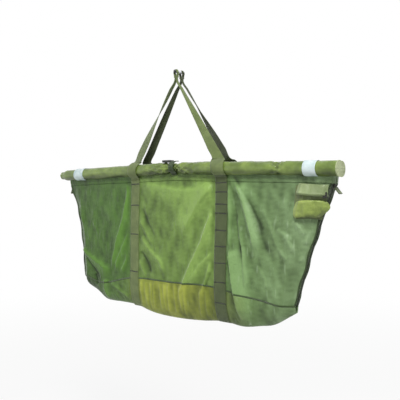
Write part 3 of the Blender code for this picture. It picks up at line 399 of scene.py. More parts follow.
# %% Sizes in metres
HALVES = ((-1, "front"), (1, "rear"))
ENDS = (("left", -1), ("right", 1))
QUARTERS = [(side, word + "_side", f"{word}_{hand}", end) for side, word in HALVES for hand, end in ENDS]
FIT = 0.0003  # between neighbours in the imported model
BAR_RADIUS = 0.005
LOOP_OFFSET = 0.0140  # middle of each loop, along the bar
LOOP_WIDTH = 0.011  # the webbing folded over the bar
WEB_WIDTH = 0.046
WEB_THICKNESS = 0.002
STRAP_X = 0.190
FLOAT_DROP = 0.322  # from the bar down to the floats' axis
FLOAT_HALF = 0.588
REAR_SHORT = 0.016  # the rear float ends this much sooner on the right
FLOAT_DROOP = math.radians(1.5)
SLEEVE_RADIUS = 0.022
LIMP_RADIUS = 0.015  # at the left ends
HALF_SPACING = 0.02375  # from the middle plane to a float's axis
GATHER_RADIUS = 0.0135  # at the gathered middle
NECK_HALF = 0.0127
HEM_HEIGHT = 0.018
SEAM_Y = 0.032
SEAM_HEIGHT = 0.006
SEAM_GAP = 0.0008  # half of the join under the binding
BASE_MIDDLE_Y = 0.0018  # where the halves meet at the lowest line
# base seam and lowest line, as depths below the floats at places along the sling
SEAM_X = (-0.480, -0.378, -0.192, 0.0, 0.180, 0.252, 0.354, 0.414, 0.449)
SEAM_DEPTH = (0.385, 0.414, 0.383, 0.380, 0.378, 0.388, 0.400, 0.4075, 0.408)
BASE_X = (-0.480, -0.450, -0.390, -0.348, -0.318, -0.276, -0.186, -0.126, 0.0,
          0.108, 0.192, 0.273, 0.327, 0.378, 0.420, 0.449)
BASE_DEPTH = (0.407, 0.430, 0.456, 0.480, 0.482, 0.481, 0.484, 0.497, 0.503,
              0.4965, 0.487, 0.492, 0.482, 0.470, 0.4448, 0.4265)


# %% Smooth curves, and waves with a fixed draw
def smooth(value):
    """0 below 0 and 1 above 1, with an even turn between."""
    value = np.clip(value, 0, 1)
    return value * value * (3 - 2 * value)


def hump(value, middle, reach):
    return smooth(1 - np.abs(value - middle) / reach)


def read_curve(value, places, levels):
    """Smooth curve through the points (places, levels), read at each value."""
    places, levels = np.asarray(places, float), np.asarray(levels, float)
    value = np.clip(value, places[0], places[-1])
    slopes = np.gradient(levels, places)
    i = np.clip(np.searchsorted(places, value, side="right") - 1, 0, len(places) - 2)
    width = places[i + 1] - places[i]
    t = (value - places[i]) / width
    rise = levels[i + 1] - levels[i]
    bend_out, bend_in = slopes[i] * width - rise, slopes[i + 1] * width - rise
    return levels[i] + rise * t + (1 - t) * t * ((1 - t) * bend_out - t * bend_in)


def run_along(points):
    """How far along a line through points each of them lies."""
    return np.concatenate(((0,), np.cumsum(np.linalg.norm(np.diff(points, axis=0), axis=1))))


def smooth_track(points, shares):
    """Points at shares of the way along a smooth line through the given points."""
    points = np.array(points)
    run = run_along(points)
    return np.stack([read_curve(shares * run[-1], run, column) for column in points.T], 1)


def ripple(spots, size, seed):
    """Irregular waves from about -1 to 1, with bumps about size metres across. The same each run."""
    draw = np.random.default_rng(seed)
    total = np.zeros(len(spots))
    for _ in range(8):
        way = draw.normal(size=3)
        way /= np.linalg.norm(way) * size * draw.uniform(0.7, 1.5)
        total += np.sin(math.tau * (spots @ way) + draw.uniform(0, math.tau))
    return total / 4


def float_z(x):
    return -FLOAT_DROP - np.abs(x) * math.tan(FLOAT_DROOP)


def seam_z(x):
    return -FLOAT_DROP - read_curve(x, SEAM_X, SEAM_DEPTH)


def base_z(x):
    return -FLOAT_DROP - read_curve(x, BASE_X, BASE_DEPTH)


def sleeve_radius(x):
    """Thin at the gathered middle and at the limp left end, round between them."""
    out = np.abs(x)
    radius = GATHER_RADIUS + (SLEEVE_RADIUS - GATHER_RADIUS) * smooth((out - NECK_HALF) / 0.028)
    limp = np.where(x < 0, smooth((out - FLOAT_HALF + 0.034) / 0.034), 0)
    return radius - (SLEEVE_RADIUS - LIMP_RADIUS) * limp


HINGE_Z = float(float_z(STRAP_X))
print("floats' axis at the straps:", round(HINGE_Z, 4))


# %% The zip's arc at each end
class EndEdge:
    """One end of the bag: the arc from under the float down to the corner of the base."""

    def __init__(self, side, top_x, taper, foot_depth, sag):
        self.side = side
        self.top_x, self.top_z = top_x, float(float_z(top_x)) - SLEEVE_RADIUS - HEM_HEIGHT - 2 * FIT
        self.foot_x, self.foot_z = top_x - taper, -FLOAT_DROP - foot_depth + SEAM_HEIGHT / 2 + FIT
        chord = np.array((self.foot_x - self.top_x, self.foot_z - self.top_z))
        length = np.linalg.norm(chord)
        self.radius = (length ** 2 / 4 + sag ** 2) / (2 * sag)
        outward = np.array((-chord[1], chord[0])) / length
        middle = np.array((self.top_x + self.foot_x, self.top_z + self.foot_z)) / 2
        self.centre = middle + outward * (self.radius - sag)
        self.start = math.atan2(self.top_z - self.centre[1], self.top_x - self.centre[0]) % math.tau
        end = math.atan2(self.foot_z - self.centre[1], self.foot_x - self.centre[0]) % math.tau
        self.span = end - self.start
        self.length = abs(self.span) * self.radius

    def x(self, z):
        """How far out the arc runs at a height, which is held between its two ends."""
        z = np.clip(z, self.foot_z, self.top_z)
        return self.centre[0] - np.sqrt(self.radius ** 2 - (z - self.centre[1]) ** 2)

    def point(self, share, outward=0.0):
        """x and z at a share of the way down, moved outward from the bag."""
        angle = self.start + self.span * share
        reach = self.radius - outward
        return self.side * (self.centre[0] + reach * np.cos(angle)), self.centre[1] + reach * np.sin(angle)


LEFT_END = EndEdge(-1, 0.548, 0.068, SEAM_DEPTH[0], 0.013)
RIGHT_END = EndEdge(1, 0.565, 0.116, SEAM_DEPTH[-1], 0.005)
EDGES = {-1: LEFT_END, 1: RIGHT_END}
print("zip lengths:", round(LEFT_END.length, 3), round(RIGHT_END.length, 3))


def drawn_in(x, z):
    """How far a thread of the cloth that starts at x leans inwards by height z, with the end edge."""
    free = STRAP_X + WEB_WIDTH
    lean = np.zeros(len(x))
    for end, edge in EDGES.items():
        lean += end * smooth((end * x - free) / (edge.top_x - free)) * (edge.x(z) - edge.top_x)
    return lean


def pinched(out, x, z):
    """Where the zips join them, the two halves lean in towards each other."""
    apart = 0.0075 + 0.0105 * smooth(1 - (RIGHT_END.top_z - z) / 0.09)
    for end, edge in EDGES.items():
        out = out + (apart - out) * smooth(1 - (edge.x(z) - end * x) / 0.045)
    return out


def foot_x(x):
    return x + drawn_in(x, np.where(x > 0, RIGHT_END.foot_z, LEFT_END.foot_z))


# %% [markdown]
# ## Folds
#
# Hanging cloth folds where it is held: from the tops and sides of the straps, under the hem, and at the
# loose lower corners. Each fold is a line on the panel, as x and depth below the floats, with two widths
# and a height. The first width is on the line's own left, the second on its right: real folds roll over
# to one side, gentle on one flank and steep on the other. A fold below 0 is a valley.

# %% Fold lines
# in millimetres: the line as (x, depth) from its first end, then its left and right widths and its height
FOLDS_IN_MM = (
    # left of the left strap
    (((-212, 48), (-236, 165), (-264, 244), (-293, 332), (-307, 377)), 16, 6, 11),
    (((-200, 194), (-236, 273), (-264, 322), (-284, 375)), 12, 5, 8),
    (((-196, 279), (-224, 327), (-250, 372)), 10, 5, 6),
    (((-477, 292), (-388, 334), (-307, 367)), 6, 20, 10),
    (((-467, 304), (-413, 354), (-376, 387), (-361, 410)), 6, 6, -6),
    (((-407, 186), (-376, 241)), 6, 6, 3),
    (((-490, 138), (-461, 204)), 6, 6, 4),
    (((-328, 399), (-331, 439), (-322, 478)), 9, 9, 12),
    (((-304, 409), (-252, 439), (-202, 460)), 8, 6, 7),
    (((-391, 385), (-376, 428)), 6, 6, -8),
    # between the straps
    (((-156, 28), (-91, 55), (3, 74), (115, 75), (141, 55), (174, 31)), 10, 35, 7),
    (((-151, 132), (-122, 184), (-81, 238)), 8, 8, -5),
    (((-156, 178), (-127, 222), (-91, 261)), 6, 6, 4),
    (((-152, 231), (-106, 277), (-55, 314), (-36, 352)), 6, 12, 7),
    (((-152, 284), (-122, 319), (-96, 365)), 6, 6, -6),
    (((-155, 314), (-138, 347), (-122, 375)), 6, 6, 5),
    (((176, 57), (146, 82), (115, 113), (69, 177), (37, 221)), 8, 30, 12),
    (((177, 116), (148, 181), (128, 231), (115, 255), (88, 303), (51, 376), (18, 451)), 12, 8, 13),
    (((164, 269), (137, 295), (115, 314), (92, 348), (65, 375)), 10, 6, 7),
    (((164, 295), (144, 350), (126, 396), (115, 425)), 8, 6, 9),
    (((157, 331), (133, 389)), 6, 6, -6),
    # right of the right strap
    (((226, 52), (227, 99), (230, 165), (230, 232), (233, 275)), 6, 4, 7),
    (((237, 52), (251, 115), (261, 177), (269, 239), (283, 327)), 6, 6, -7),
    (((255, 49), (283, 108), (302, 163), (316, 214), (322, 259)), 22, 8, 14),
    (((291, 85), (329, 168), (356, 234), (375, 280)), 14, 14, -6),
    (((259, 151), (271, 216), (281, 261), (291, 326), (295, 390)), 6, 5, 7),
    (((230, 252), (243, 324), (257, 388), (277, 477)), 30, 5, 18),
    (((227, 22), (243, 75), (261, 164), (273, 262)), 4, 3, 4),
    (((233, 24), (261, 75), (291, 150), (310, 214)), 5, 3.5, 4),
    (((241, 26), (283, 85), (322, 149), (356, 212)), 7, 5, -5),
    (((345, 123), (375, 179), (396, 232), (432, 282)), 6, 4, 3),
    (((329, 293), (360, 335), (367, 369)), 5, 4, 3),
    (((396, 185), (453, 216)), 4, 10, 4),
    (((425, 202), (457, 249)), 4, 8, 4),
    (((411, 246), (432, 276)), 4, 6, 3),
    (((450, 158), (494, 199)), 4, 8, 4),
    (((501, 186), (484, 226)), 8, 5, 4),
    (((494, 232), (467, 282)), 8, 5, 4),
)
SIDE_FOLDS = [(np.array(line) / 1000, left / 1000, right / 1000, height / 1000)
              for line, left, right, height in FOLDS_IN_MM]


def fold_height(places, folds):
    """How far the folds lift the cloth at each (x, depth)."""
    lift = np.zeros(len(places))
    for line, left, right, height in folds:
        run = run_along(line)
        nearest, share, width = np.full(len(places), 9.0), np.zeros(len(places)), np.full(len(places), left)
        for i, step in enumerate(np.linalg.norm(np.diff(line, axis=0), axis=1)):
            way, spot = line[i + 1] - line[i], places - line[i]
            t = np.clip(spot @ way / step ** 2, 0, 1)
            gap = np.linalg.norm(spot - t[:, None] * way, axis=1)
            on_left = way[0] * spot[:, 1] < way[1] * spot[:, 0]
            closer = gap < nearest
            nearest = np.where(closer, gap, nearest)
            width = np.where(closer, np.where(on_left, left, right), width)
            share = np.where(closer, (run[i] + t * step) / run[-1], share)
        # a fold rises quickly from its first end and runs out slowly
        fade = smooth(share / 0.12) * smooth((1 - share) / 0.20)
        lift += height * fade * np.exp(-(nearest / width) ** 1.3)
    return lift


def cloth_lift(x, z, seed):
    """Folds and fine ripples at each point, flat beside the straps and along the ends."""
    spots = np.stack((x, np.zeros(len(x)), z), 1)
    lift = fold_height(np.stack((x, -FLOAT_DROP - z), 1), SIDE_FOLDS)
    lift += 0.0016 * ripple(spots, 0.075, seed) + 0.0007 * ripple(spots, 0.028, seed + 1)
    # the cloth lies flat under the straps' edges and where the zips hold it
    flat = smooth((np.abs(np.abs(x) - STRAP_X) - WEB_WIDTH / 2 - 0.001) / 0.012)
    for end, edge in EDGES.items():
        flat *= smooth((edge.x(z) - end * x) / 0.022)
    return lift * flat


print("folds:", len(SIDE_FOLDS))

# %% [markdown]
# ## Laying a sheet
#
# Each sheet starts as Blender's own grid. Its points are then laid where the lines above put them, its
# flat map is stretched to the sheet's real size in metres, and a Solidify modifier gives the cloth its
# thickness.

# %% Grid helpers
def select_only(piece):
    bpy.ops.object.select_all(action="DESELECT")
    piece.select_set(True)
    bpy.context.view_layer.objects.active = piece


def spots_of(piece):
    """Where a piece's points are, one row each."""
    spots = np.empty(len(piece.data.vertices) * 3)
    piece.data.vertices.foreach_get("co", spots)
    return spots.reshape(-1, 3)


def write_shares(piece, name, values):
    """Writes an attribute that the finish reads: a value from 0 to 1 at each point."""
    attribute = piece.data.attributes.new(name, "FLOAT", "POINT")
    attribute.data.foreach_set("value", np.clip(values, 0, 1))
    return piece


def lay_grid(name, columns, rows, place, size):
    """A grid of new cloth. place takes each point's share across and share along, from 0 to 1."""
    bpy.ops.object.select_all(action="DESELECT")
    bpy.ops.mesh.primitive_grid_add(x_subdivisions=columns, y_subdivisions=rows, size=1)
    piece = bpy.context.object
    piece.name = name
    spots = spots_of(piece)
    laid = place(np.clip(spots[:, 0] + 0.5, 0, 1), np.clip(spots[:, 1] + 0.5, 0, 1))
    piece.data.vertices.foreach_set("co", np.asarray(laid, float).ravel())
    flat = piece.data.uv_layers.active.uv
    shares = np.empty(len(flat) * 2)
    flat.foreach_get("vector", shares)
    flat.foreach_set("vector", (shares.reshape(-1, 2) * size).ravel())
    piece.data.update()
    return piece


def close_up(piece):
    """Merges the points that meet, as where a grid closes to a tube, and turns the faces outwards."""
    select_only(piece)
    bpy.ops.object.mode_set(mode="EDIT")
    bpy.ops.mesh.select_all(action="SELECT")
    bpy.ops.mesh.remove_doubles(threshold=0.00002)
    bpy.ops.mesh.normals_make_consistent(inside=False)
    bpy.ops.object.mode_set(mode="OBJECT")
    return piece


def modify(piece, kind, **settings):
    """Adds a modifier with its settings to a piece, and applies it."""
    select_only(piece)
    bpy.ops.object.modifier_add(type=kind)
    modifier = piece.modifiers[-1]
    for name, value in settings.items():
        setattr(modifier, name, value)
    bpy.ops.object.modifier_apply(modifier=modifier.name)
    return piece


def thicken(piece, wall):
    """Gives cloth its wall, half of it on each side of the grid."""
    return modify(piece, "SOLIDIFY", thickness=wall, offset=0.0)


def dress(piece, finish, body, slot, *nodes):
    """Gives a piece its finish and its body, and hides the CAD nodes that it stands for. Its slot is not used."""
    piece.data.shade_smooth()
    piece.data.materials.clear()
    piece.data.materials.append(finish)
    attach(piece, body)
    if nodes:
        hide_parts(*nodes)
    return piece


def add_webbing(name, columns, rows, place, size, wall, finish, body, *nodes):
    """A length of webbing, tape or thread: laid, thickened and dressed."""
    return dress(thicken(lay_grid(name, columns, rows, place, size), wall), finish, body, "olive_webbing", *nodes)


# %% [markdown]
# ## The bag
#
# Each half of the bag is a side panel from the hem to the base seam, a seam binding over the join, and a
# base half that turns under to the bag's lowest line, where the two halves meet. The hem is a strip of the
# same cloth under the float. Its ends turn in to meet the other half's, above the zips.

# %% Side panels, seams and base
PANEL_WALL = 0.0009
HEM_TURN = 0.022
PANEL_FLAT = (1.113, 0.37)
BASE_FLAT = (0.99, 0.105)
HEM_FLAT = (1.157, 0.023)
PLEATS = [(np.array(((x, 0.385), (x + 0.006 * math.sin(90 * x), 0.492))), 0.0060, 0.0030, 0.0040)
          for x in (-0.147, -0.128, -0.104, -0.086, -0.060, -0.041, -0.018, 0.006, 0.031, 0.052, 0.118, 0.140)]


def bag_lift(x, z, side):
    """The folds of one half's cloth, with the fine pleats of its base."""
    return cloth_lift(x, z, 11 + side) + fold_height(np.stack((x, -FLOAT_DROP - z), 1), PLEATS)


def panel_spots(x, fall, side):
    """Points on a side panel: fall is 0 at the hem and 1 at the base seam."""
    top = float_z(x) - SLEEVE_RADIUS - HEM_HEIGHT
    z = top + (seam_z(foot_x(x)) + SEAM_GAP - top) * fall
    now_x = x + drawn_in(x, z)
    out = HALF_SPACING + (SEAM_Y - HALF_SPACING) * fall
    out = pinched(out, now_x, z) + cloth_lift(now_x, z, 11 + side) * smooth(fall / 0.06)
    return np.stack((now_x, side * out, z), 1)


def base_spots(x, turn_share, side):
    """Points on a base half: turn share is 0 under the seam and 1 at the lowest line."""
    at_x = foot_x(x)
    turn = turn_share * math.pi / 2
    start = seam_z(at_x) - SEAM_GAP
    z = start + (base_z(at_x) - start) * np.sin(turn)
    strap = smooth((np.abs(np.abs(at_x) - STRAP_X) - WEB_WIDTH / 2) / 0.01)
    out = pinched(SEAM_Y, at_x, z) + bag_lift(at_x, z, side) * strap
    out = BASE_MIDDLE_Y + (out - BASE_MIDDLE_Y) * np.cos(turn)
    return np.stack((at_x, side * np.maximum(out, BASE_MIDDLE_Y), z), 1)


def along_hem(u):
    """x along the hem, from the left end to the right one."""
    return -LEFT_END.top_x + (LEFT_END.top_x + RIGHT_END.top_x) * u


def mark_painted_fold_shade(piece, side):
    """Writes the painted fold shade: 0 in the deepest valley, 1 on the highest fold, with a painted shadow under the
    float on the hem and the top of the panel, and painted shade on fine wrinkles.
    """
    x, _, z = spots_of(piece).T
    painted_hem_shadow = 0.06 * smooth(1 - (float_z(x) - SLEEVE_RADIUS - HEM_HEIGHT - z) / 0.035)
    spots = np.stack((x, 0 * x, z), 1)
    painted_wrinkle_shade = 0.10 * ripple(spots * (1, 1, 0.35), 0.022, 61) + 0.07 * ripple(spots * (0.5, 1, 1), 0.011, 62)
    return write_shares(piece, "painted_fold_shade", 0.45 + bag_lift(x, z, side) / 0.014 - painted_hem_shadow + painted_wrinkle_shade)


def make_bag(side, word):
    body = word + "_side"
    panel = lay_grid(word + "_mesh_panel", 300, 96, lambda u, v: panel_spots(along_hem(u), 1 - v, side), PANEL_FLAT)
    dress(thicken(mark_painted_fold_shade(panel, side), PANEL_WALL), SIDE_MESH, body, "green_mesh", word + "_panel")
    base = lay_grid(word + "_mesh_base", 300, 30, lambda u, v: base_spots(along_hem(u), 1 - v, side), BASE_FLAT)
    dress(thicken(mark_painted_fold_shade(base, side), PANEL_WALL), BASE_MESH, body, "base_mesh", word + "_base")

    def binding(u, v):
        """A tape folded over the join: its middle stands proud of both cloths."""
        spots = panel_spots(along_hem(v), np.ones(len(v)), side)
        across = 2 * u - 1
        spots[:, 1] += side * (0.0006 + 0.0007 * (1 - across ** 2))
        spots[:, 2] += -SEAM_GAP + across * (SEAM_GAP + 0.0014)
        return spots

    seam = add_webbing(word + "_seam_binding", 6, 300, binding, (0.0044, 0.97), 0.0008, SEAM_WEBBING, body,
                       word + "_base_seam")

    def hem_spots(u, v):
        """The hem turns in at both ends to meet the other half's, and rises to the gathered neck."""
        run = -LEFT_END.top_x - HEM_TURN + (LEFT_END.top_x + RIGHT_END.top_x + 2 * HEM_TURN) * u
        x = np.clip(run, -LEFT_END.top_x, RIGHT_END.top_x)
        turned = np.abs(run - x) / HEM_TURN
        spots = panel_spots(x, np.zeros(len(x)), side)
        rise = (SLEEVE_RADIUS - sleeve_radius(x)) * hump(x, 0, 0.06)
        spots[:, 2] += (HEM_HEIGHT + 0.005 + rise) * v - 0.001
        out = np.abs(spots[:, 1]) + (HALF_SPACING - np.abs(spots[:, 1])) * v - 0.004 * rise / 0.008 * v
        pucker = 0.0007 * ripple(spots, 0.011, 5) * hump(v, 0.45, 0.5) + 0.0009 * hump(v, 0.3, 0.5)
        spots[:, 0] += np.sign(x) * 0.004 * np.sin(turned * math.pi / 2)
        spots[:, 1] = side * (out + 0.0006 + pucker) * (1 - 0.93 * turned)
        return spots

    hem = lay_grid(word + "_hem_strip", 380, 10, hem_spots, HEM_FLAT)
    dress(thicken(mark_painted_fold_shade(hem, side), 0.0008), SIDE_MESH, body, "olive_nylon", word + "_hem_band")


for side, word in HALVES:
    make_bag(side, word)
print("bag halves laid")

# %% [markdown]
# ## The straps
#
# Each handle is one length of webbing. It is folded narrow over the bar and stitched below it, twists as it
# opens out, and wraps the outer face of the float, where it goes on as the lower strap. When the bag opens,
# the handle swings on the bar and the float turns in the webbing.

# %% Handle straps
SHOULDER_IN = {-1: 0.007, 1: 0.014}
STRAP_PLACES = {-1: (-0.181, 0.0197), 1: (0.197, 0.0225)}  # middle, and half of the width
# half of each leg's width at the float, and how late it opens out
LEG_OPENING = {("front", -1): (0.0216, 0.9), ("front", 1): (0.0180, 1.6),
               ("rear", -1): (0.0155, 0.9), ("rear", 1): (0.0205, 1.6)}
WRAP_END = math.radians(150)
LEG_TWIST = math.radians(74)
LEG_WIDTH = 0.0130
WRAP_RADIUS = SLEEVE_RADIUS + 0.0013 + WEB_THICKNESS / 2
LEG_SHARES = (0.12, 0.19, 0.26, 0.33, 0.41, 0.50, 0.60, 0.73, 0.87, 1.0)
# share of the turn round the float, and how far the webbing still stands off it, in widths of webbing
WRAP_SHARES = ((0.04, 0.07), (0.12, 0.03), (0.22, 0.01), (0.32, 0), (0.42, 0), (0.52, 0), (0.62, 0), (0.72, 0),
               (0.82, 0), (0.91, 0), (1.0, 0))


def handle_stations(end, word):
    """One half of a handle from the bar outwards. Each row is the webbing's middle, then half of its cut
    across."""
    rows = []
    centre, wrap_half = abs(STRAP_PLACES[end][0]), STRAP_PLACES[end][1]
    loop_radius = BAR_RADIUS + FIT + WEB_THICKNESS / 2
    shoulder = np.array((centre - SHOULDER_IN[end], -HALF_SPACING, HINGE_Z + SLEEVE_RADIUS + WEB_WIDTH * 0.16))
    stitched = np.array((0.0040, -LOOP_OFFSET, -0.026))
    lean = math.atan2(shoulder[0] - stitched[0], stitched[2] - shoulder[2])
    across = np.array((0.0, 1.0, 0.0))
    square = np.array((math.cos(lean), 0, math.sin(lean)))
    along_leg = np.array((math.sin(lean), 0, -math.cos(lean)))
    for turn in (math.pi / 2, math.pi / 4, 0.0):
        rows.append((loop_radius * math.cos(turn), -LOOP_OFFSET, loop_radius * math.sin(turn)))
    rows += [stitched * (1, 1, 0.5), stitched]
    rows = [np.concatenate((middle, across * LOOP_WIDTH / 2)) for middle in rows]
    widest, power = LEG_OPENING[word, end]
    for share in LEG_SHARES:
        twist = float(smooth((share + 0.04) / 0.85)) * LEG_TWIST
        half = LEG_WIDTH / 2 + (widest - LEG_WIDTH / 2) * share ** power
        level = float(smooth((share - 0.60) / 0.40))
        cut = across * math.cos(twist) + square * math.sin(twist) + along_leg * math.tan(lean) * level
        rows.append(np.concatenate((stitched + (shoulder - stitched) * share, cut * half)))
    for share, lift in WRAP_SHARES:
        turn, reach = WRAP_END * share, WRAP_RADIUS + lift * WEB_WIDTH
        slope = math.tan(lean) * (1 - share)
        rows.append(np.array((centre - SHOULDER_IN[end] * (1 - share) ** 2,
                              -HALF_SPACING - reach * math.sin(turn), HINGE_Z + reach * math.cos(turn),
                              wrap_half * math.sqrt(1 + slope ** 2), 0, 0)))
    return rows


def make_handle(side, word, finish):
    """One handle from wrap to wrap. Near the bar its edges curl in, as the webbing is folded there."""
    rows = []
    left = [row * (-1, 1, 1, -1, 1, 1) for row in handle_stations(-1, word)]
    for row in left[:0:-1] + handle_stations(1, word):
        if rows and row[3:] @ rows[-1][3:] < 0:
            row = row * (1, 1, 1, -1, -1, -1)
        rows.append(row)

    def place(u, v):
        data = smooth_track(rows, v)
        ahead, behind = (smooth_track(rows, np.clip(v + step, 0, 1)) for step in (0.002, -0.002))
        across = 2 * u - 1
        face = np.cross((ahead - behind)[:, :3], data[:, 3:])
        face /= np.linalg.norm(face, axis=1)[:, None]
        width = 2 * np.linalg.norm(data[:, 3:], axis=1)
        folded = 1 - smooth((width - LEG_WIDTH) / 0.018)
        cupped = 0.0028 * folded * (across ** 2 - 0.3)
        spots = data[:, :3] + data[:, 3:] * across[:, None] - face * cupped[:, None] * np.sign(face[:, 2:] + 1e-9)
        spots[:, 1] *= -side
        return spots

    length = run_along(np.array(rows)[:, :3])[-1]
    return add_webbing(word + "_handle_webbing", 14, 420, place, (WEB_WIDTH, length), 0.0018, finish,
                       word + "_handle", word + "_handle_strap")


# the front handle gets the lit copy of the webbing, the rear one the shaded copy, as painted light and shade
HANDLES = {"front": make_handle(-1, "front", LIT_WEBBING), "rear": make_handle(1, "rear", SHADED_REAR_WEBBING)}
print("handles laid")


# %% Lower straps and their bar-tacks
TACK_LENGTH = 0.0034
TACK_DEPTHS = {
    "front_right": (0.050, 0.079, 0.117, 0.145, 0.198, 0.248, 0.300, 0.360, 0.425),
    "front_left": (0.052, 0.126, 0.228, 0.359),
    "rear_right": (0.050, 0.117, 0.198, 0.300),
    "rear_left": (0.052, 0.126, 0.228, 0.359),
}


def strap_rows(end, side):
    """Middle of a lower strap's face from the wrap down to the bag's lowest line."""
    outside = 0.0007 + WEB_THICKNESS / 2
    rows = [np.array((end * STRAP_X, -(HALF_SPACING + WRAP_RADIUS * math.sin(WRAP_END)),
                      HINGE_Z + WRAP_RADIUS * math.cos(WRAP_END)))]
    for share in (0.35, 0.75):
        rows.append(np.array((end * STRAP_X, -HALF_SPACING - outside - 0.0012,
                              HINGE_Z - SLEEVE_RADIUS - HEM_HEIGHT * share)))
    x = np.full(24, end * STRAP_X)
    for spots in (panel_spots(x, np.linspace(0.06, 0.99, 24), -1), base_spots(x, np.linspace(0.03, 1, 24), -1)):
        down = np.gradient(spots, axis=0)
        outward = np.stack((0 * x, down[:, 2], -down[:, 1]), 1)
        outward /= np.linalg.norm(outward, axis=1)[:, None]
        rows.extend(spots + outward * outside)
    return np.array(rows) * (1, -side, 1)


def make_lower_strap(side, body, name, end):
    """The webbing down the bag below a wrap, and the bar-tacks sewn across it."""
    rows = strap_rows(end, side)
    run = run_along(rows)
    length = run[-1]
    shift, half = STRAP_PLACES[end][0] - end * STRAP_X, STRAP_PLACES[end][1]

    def place(u, v):
        spots = smooth_track(rows, 1 - v)
        across = 2 * u - 1
        spots[:, 0] += shift + across * half + 0.0012 * np.sin(v * 9 + end) * smooth((1 - v) / 0.1)
        spots[:, 1] += side * 0.0005 * (1 - across ** 2)
        return spots

    # the left lower straps get the lit copy and the right ones the shaded copy, as painted light and shade
    add_webbing(name + "_strap_webbing", 12, 150, place, (WEB_WIDTH, length), 0.0018,
                LIT_WEBBING if end < 0 else SHADED_STRAP_WEBBING, body, name + "_strap")
    for number, depth in enumerate(TACK_DEPTHS[name]):
        middle = float(np.interp(depth, -FLOAT_DROP - rows[:, 2], run / length))

        def tack(u, v, middle=middle, number=number):
            """A raised row of thread across the strap, not quite straight."""
            spots = smooth_track(rows, middle + (0.5 - v) * TACK_LENGTH / length)
            across = 2 * u - 1
            bead = 0.0007 * np.sqrt(np.clip(1 - (2 * v - 1) ** 2, 0, 1))
            spots += np.stack((shift + across * half * 0.98, side * (0.0012 + bead),
                               0.0006 * np.sin(across * 2 + number)), 1)
            return spots

        add_webbing(f"{name}_bar_tack_{number + 1}", 24, 4, tack, (WEB_WIDTH, TACK_LENGTH), 0.0006, THREAD,
                    body)


for quarter in QUARTERS:
    make_lower_strap(*quarter)
print("lower straps laid")

# %% [markdown]
# ## The floats
#
# A float is a round foam core in a nylon sleeve. The sleeve is a tube that closes at both ends. Where it
# is gathered at the middle it buckles in the criss-cross dimples of a crushed tube: sharp creases outside,
# soft dimples between. The same dimples mark a crushed place towards the right end. A band of reflective
# tape goes round each sleeve near its end.

# %% Sleeves
CRUSHED_X = 0.402
BANDS = {-1: (-0.474, 0.052), 1: (0.508, 0.040)}  # middle, and width


def round_float(x, turn, reach, side):
    """Points round a float's axis: turn is 0 on top, reach is the way out from the axis."""
    return np.stack((x, side * HALF_SPACING + reach * np.sin(turn), float_z(x) + reach * np.cos(turn)), 1)


def dimples(x, turn, pitch, count):
    """Criss-cross buckles: 0 on the creases and up to 1 in the dimples between them."""
    slant = count * turn / 2
    return np.abs(np.sin(math.pi * x / pitch + slant)) * np.abs(np.sin(math.pi * x / pitch - slant))


def sleeve_relief(x, turn, side):
    """How far the sleeve stands out of its smooth surface, mostly inwards."""
    out = np.abs(x)
    spots = np.stack((x, SLEEVE_RADIUS * np.sin(turn) + side, SLEEVE_RADIUS * np.cos(turn)), 1)
    warp = 0.006 * ripple(spots, 0.05, 21)
    # buckles, strongest at the middle and at the crushed place
    crushed = smooth(1 - (out - 0.02) / 0.13) + 0.8 * hump(x, CRUSHED_X, 0.040) + 0.12
    # smooth where a strap's wrap or a band holds the cloth
    covered = hump(out, STRAP_X, 0.045) + hump(x, BANDS[-1][0], 0.04) + hump(x, BANDS[1][0], 0.04)
    relief = -0.0034 * crushed * dimples(x + warp, turn + warp * 30, 0.034, 6)
    # pleats of the gathered middle, slow waves along the foam, and pleats at the crushed place
    relief -= 0.0011 * (0.5 + 0.5 * np.cos(13 * turn + 4 * ripple(spots, 0.06, 3))) * smooth(1 - (out - 0.012) / 0.06)
    relief += 0.0012 * ripple(spots * (0.30, 1, 1), 0.022, 8) - 0.0010
    relief -= 0.0045 * hump(x, CRUSHED_X, 0.028) * (0.5 + 0.5 * np.cos(turn + 0.5)) * (0.6 + 0.4 * np.sin(x * 330))
    # the sleeve's long seam, close to its top
    seam = np.abs((turn - 0.15 * side + math.pi) % math.tau - math.pi)
    relief -= 0.0008 * np.exp(-(seam * SLEEVE_RADIUS / 0.0013) ** 2)
    return relief * (1 - 0.85 * np.clip(covered, 0, 1))


def float_end(side, end):
    """Half length of a float. The rear one stops sooner on the right."""
    return FLOAT_HALF - (REAR_SHORT if side > 0 and end > 0 else 0)


def make_sleeve(side, body, name, end):
    """A sleeve with its foam: a grid rolled to a tube, whose first and last rings close to a point."""
    def place(u, v):
        turn = math.tau * u
        closing = np.clip(np.minimum(v, 1 - v) * 130, 0, 1)
        share = np.clip((v - 1 / 130) / (1 - 2 / 130), 0, 1)
        x = end * (NECK_HALF + FIT + (float_end(side, end) - NECK_HALF - FIT) * share)
        return round_float(x, turn, (sleeve_radius(x) + sleeve_relief(x, turn, side)) * closing, side)

    sleeve = close_up(lay_grid(name + "_float", 84, 260, place, (0.138, 0.587)))
    x, y, z = spots_of(sleeve).T
    turn = np.arctan2(y - side * HALF_SPACING, z - float_z(x))
    # painted shade: darker in the dimples, and darker on the underside, away from the light above
    painted_dimple_shade = -sleeve_relief(x, turn % math.tau, side) / 0.009 - 0.15
    below = 0.55 * smooth((-np.cos(turn) - 0.15) / 0.7)
    write_shares(sleeve, "painted_shade", painted_dimple_shade + below)
    dress(sleeve, SATIN_NYLON, body, "olive_nylon", name + "_foam", name + "_sleeve")


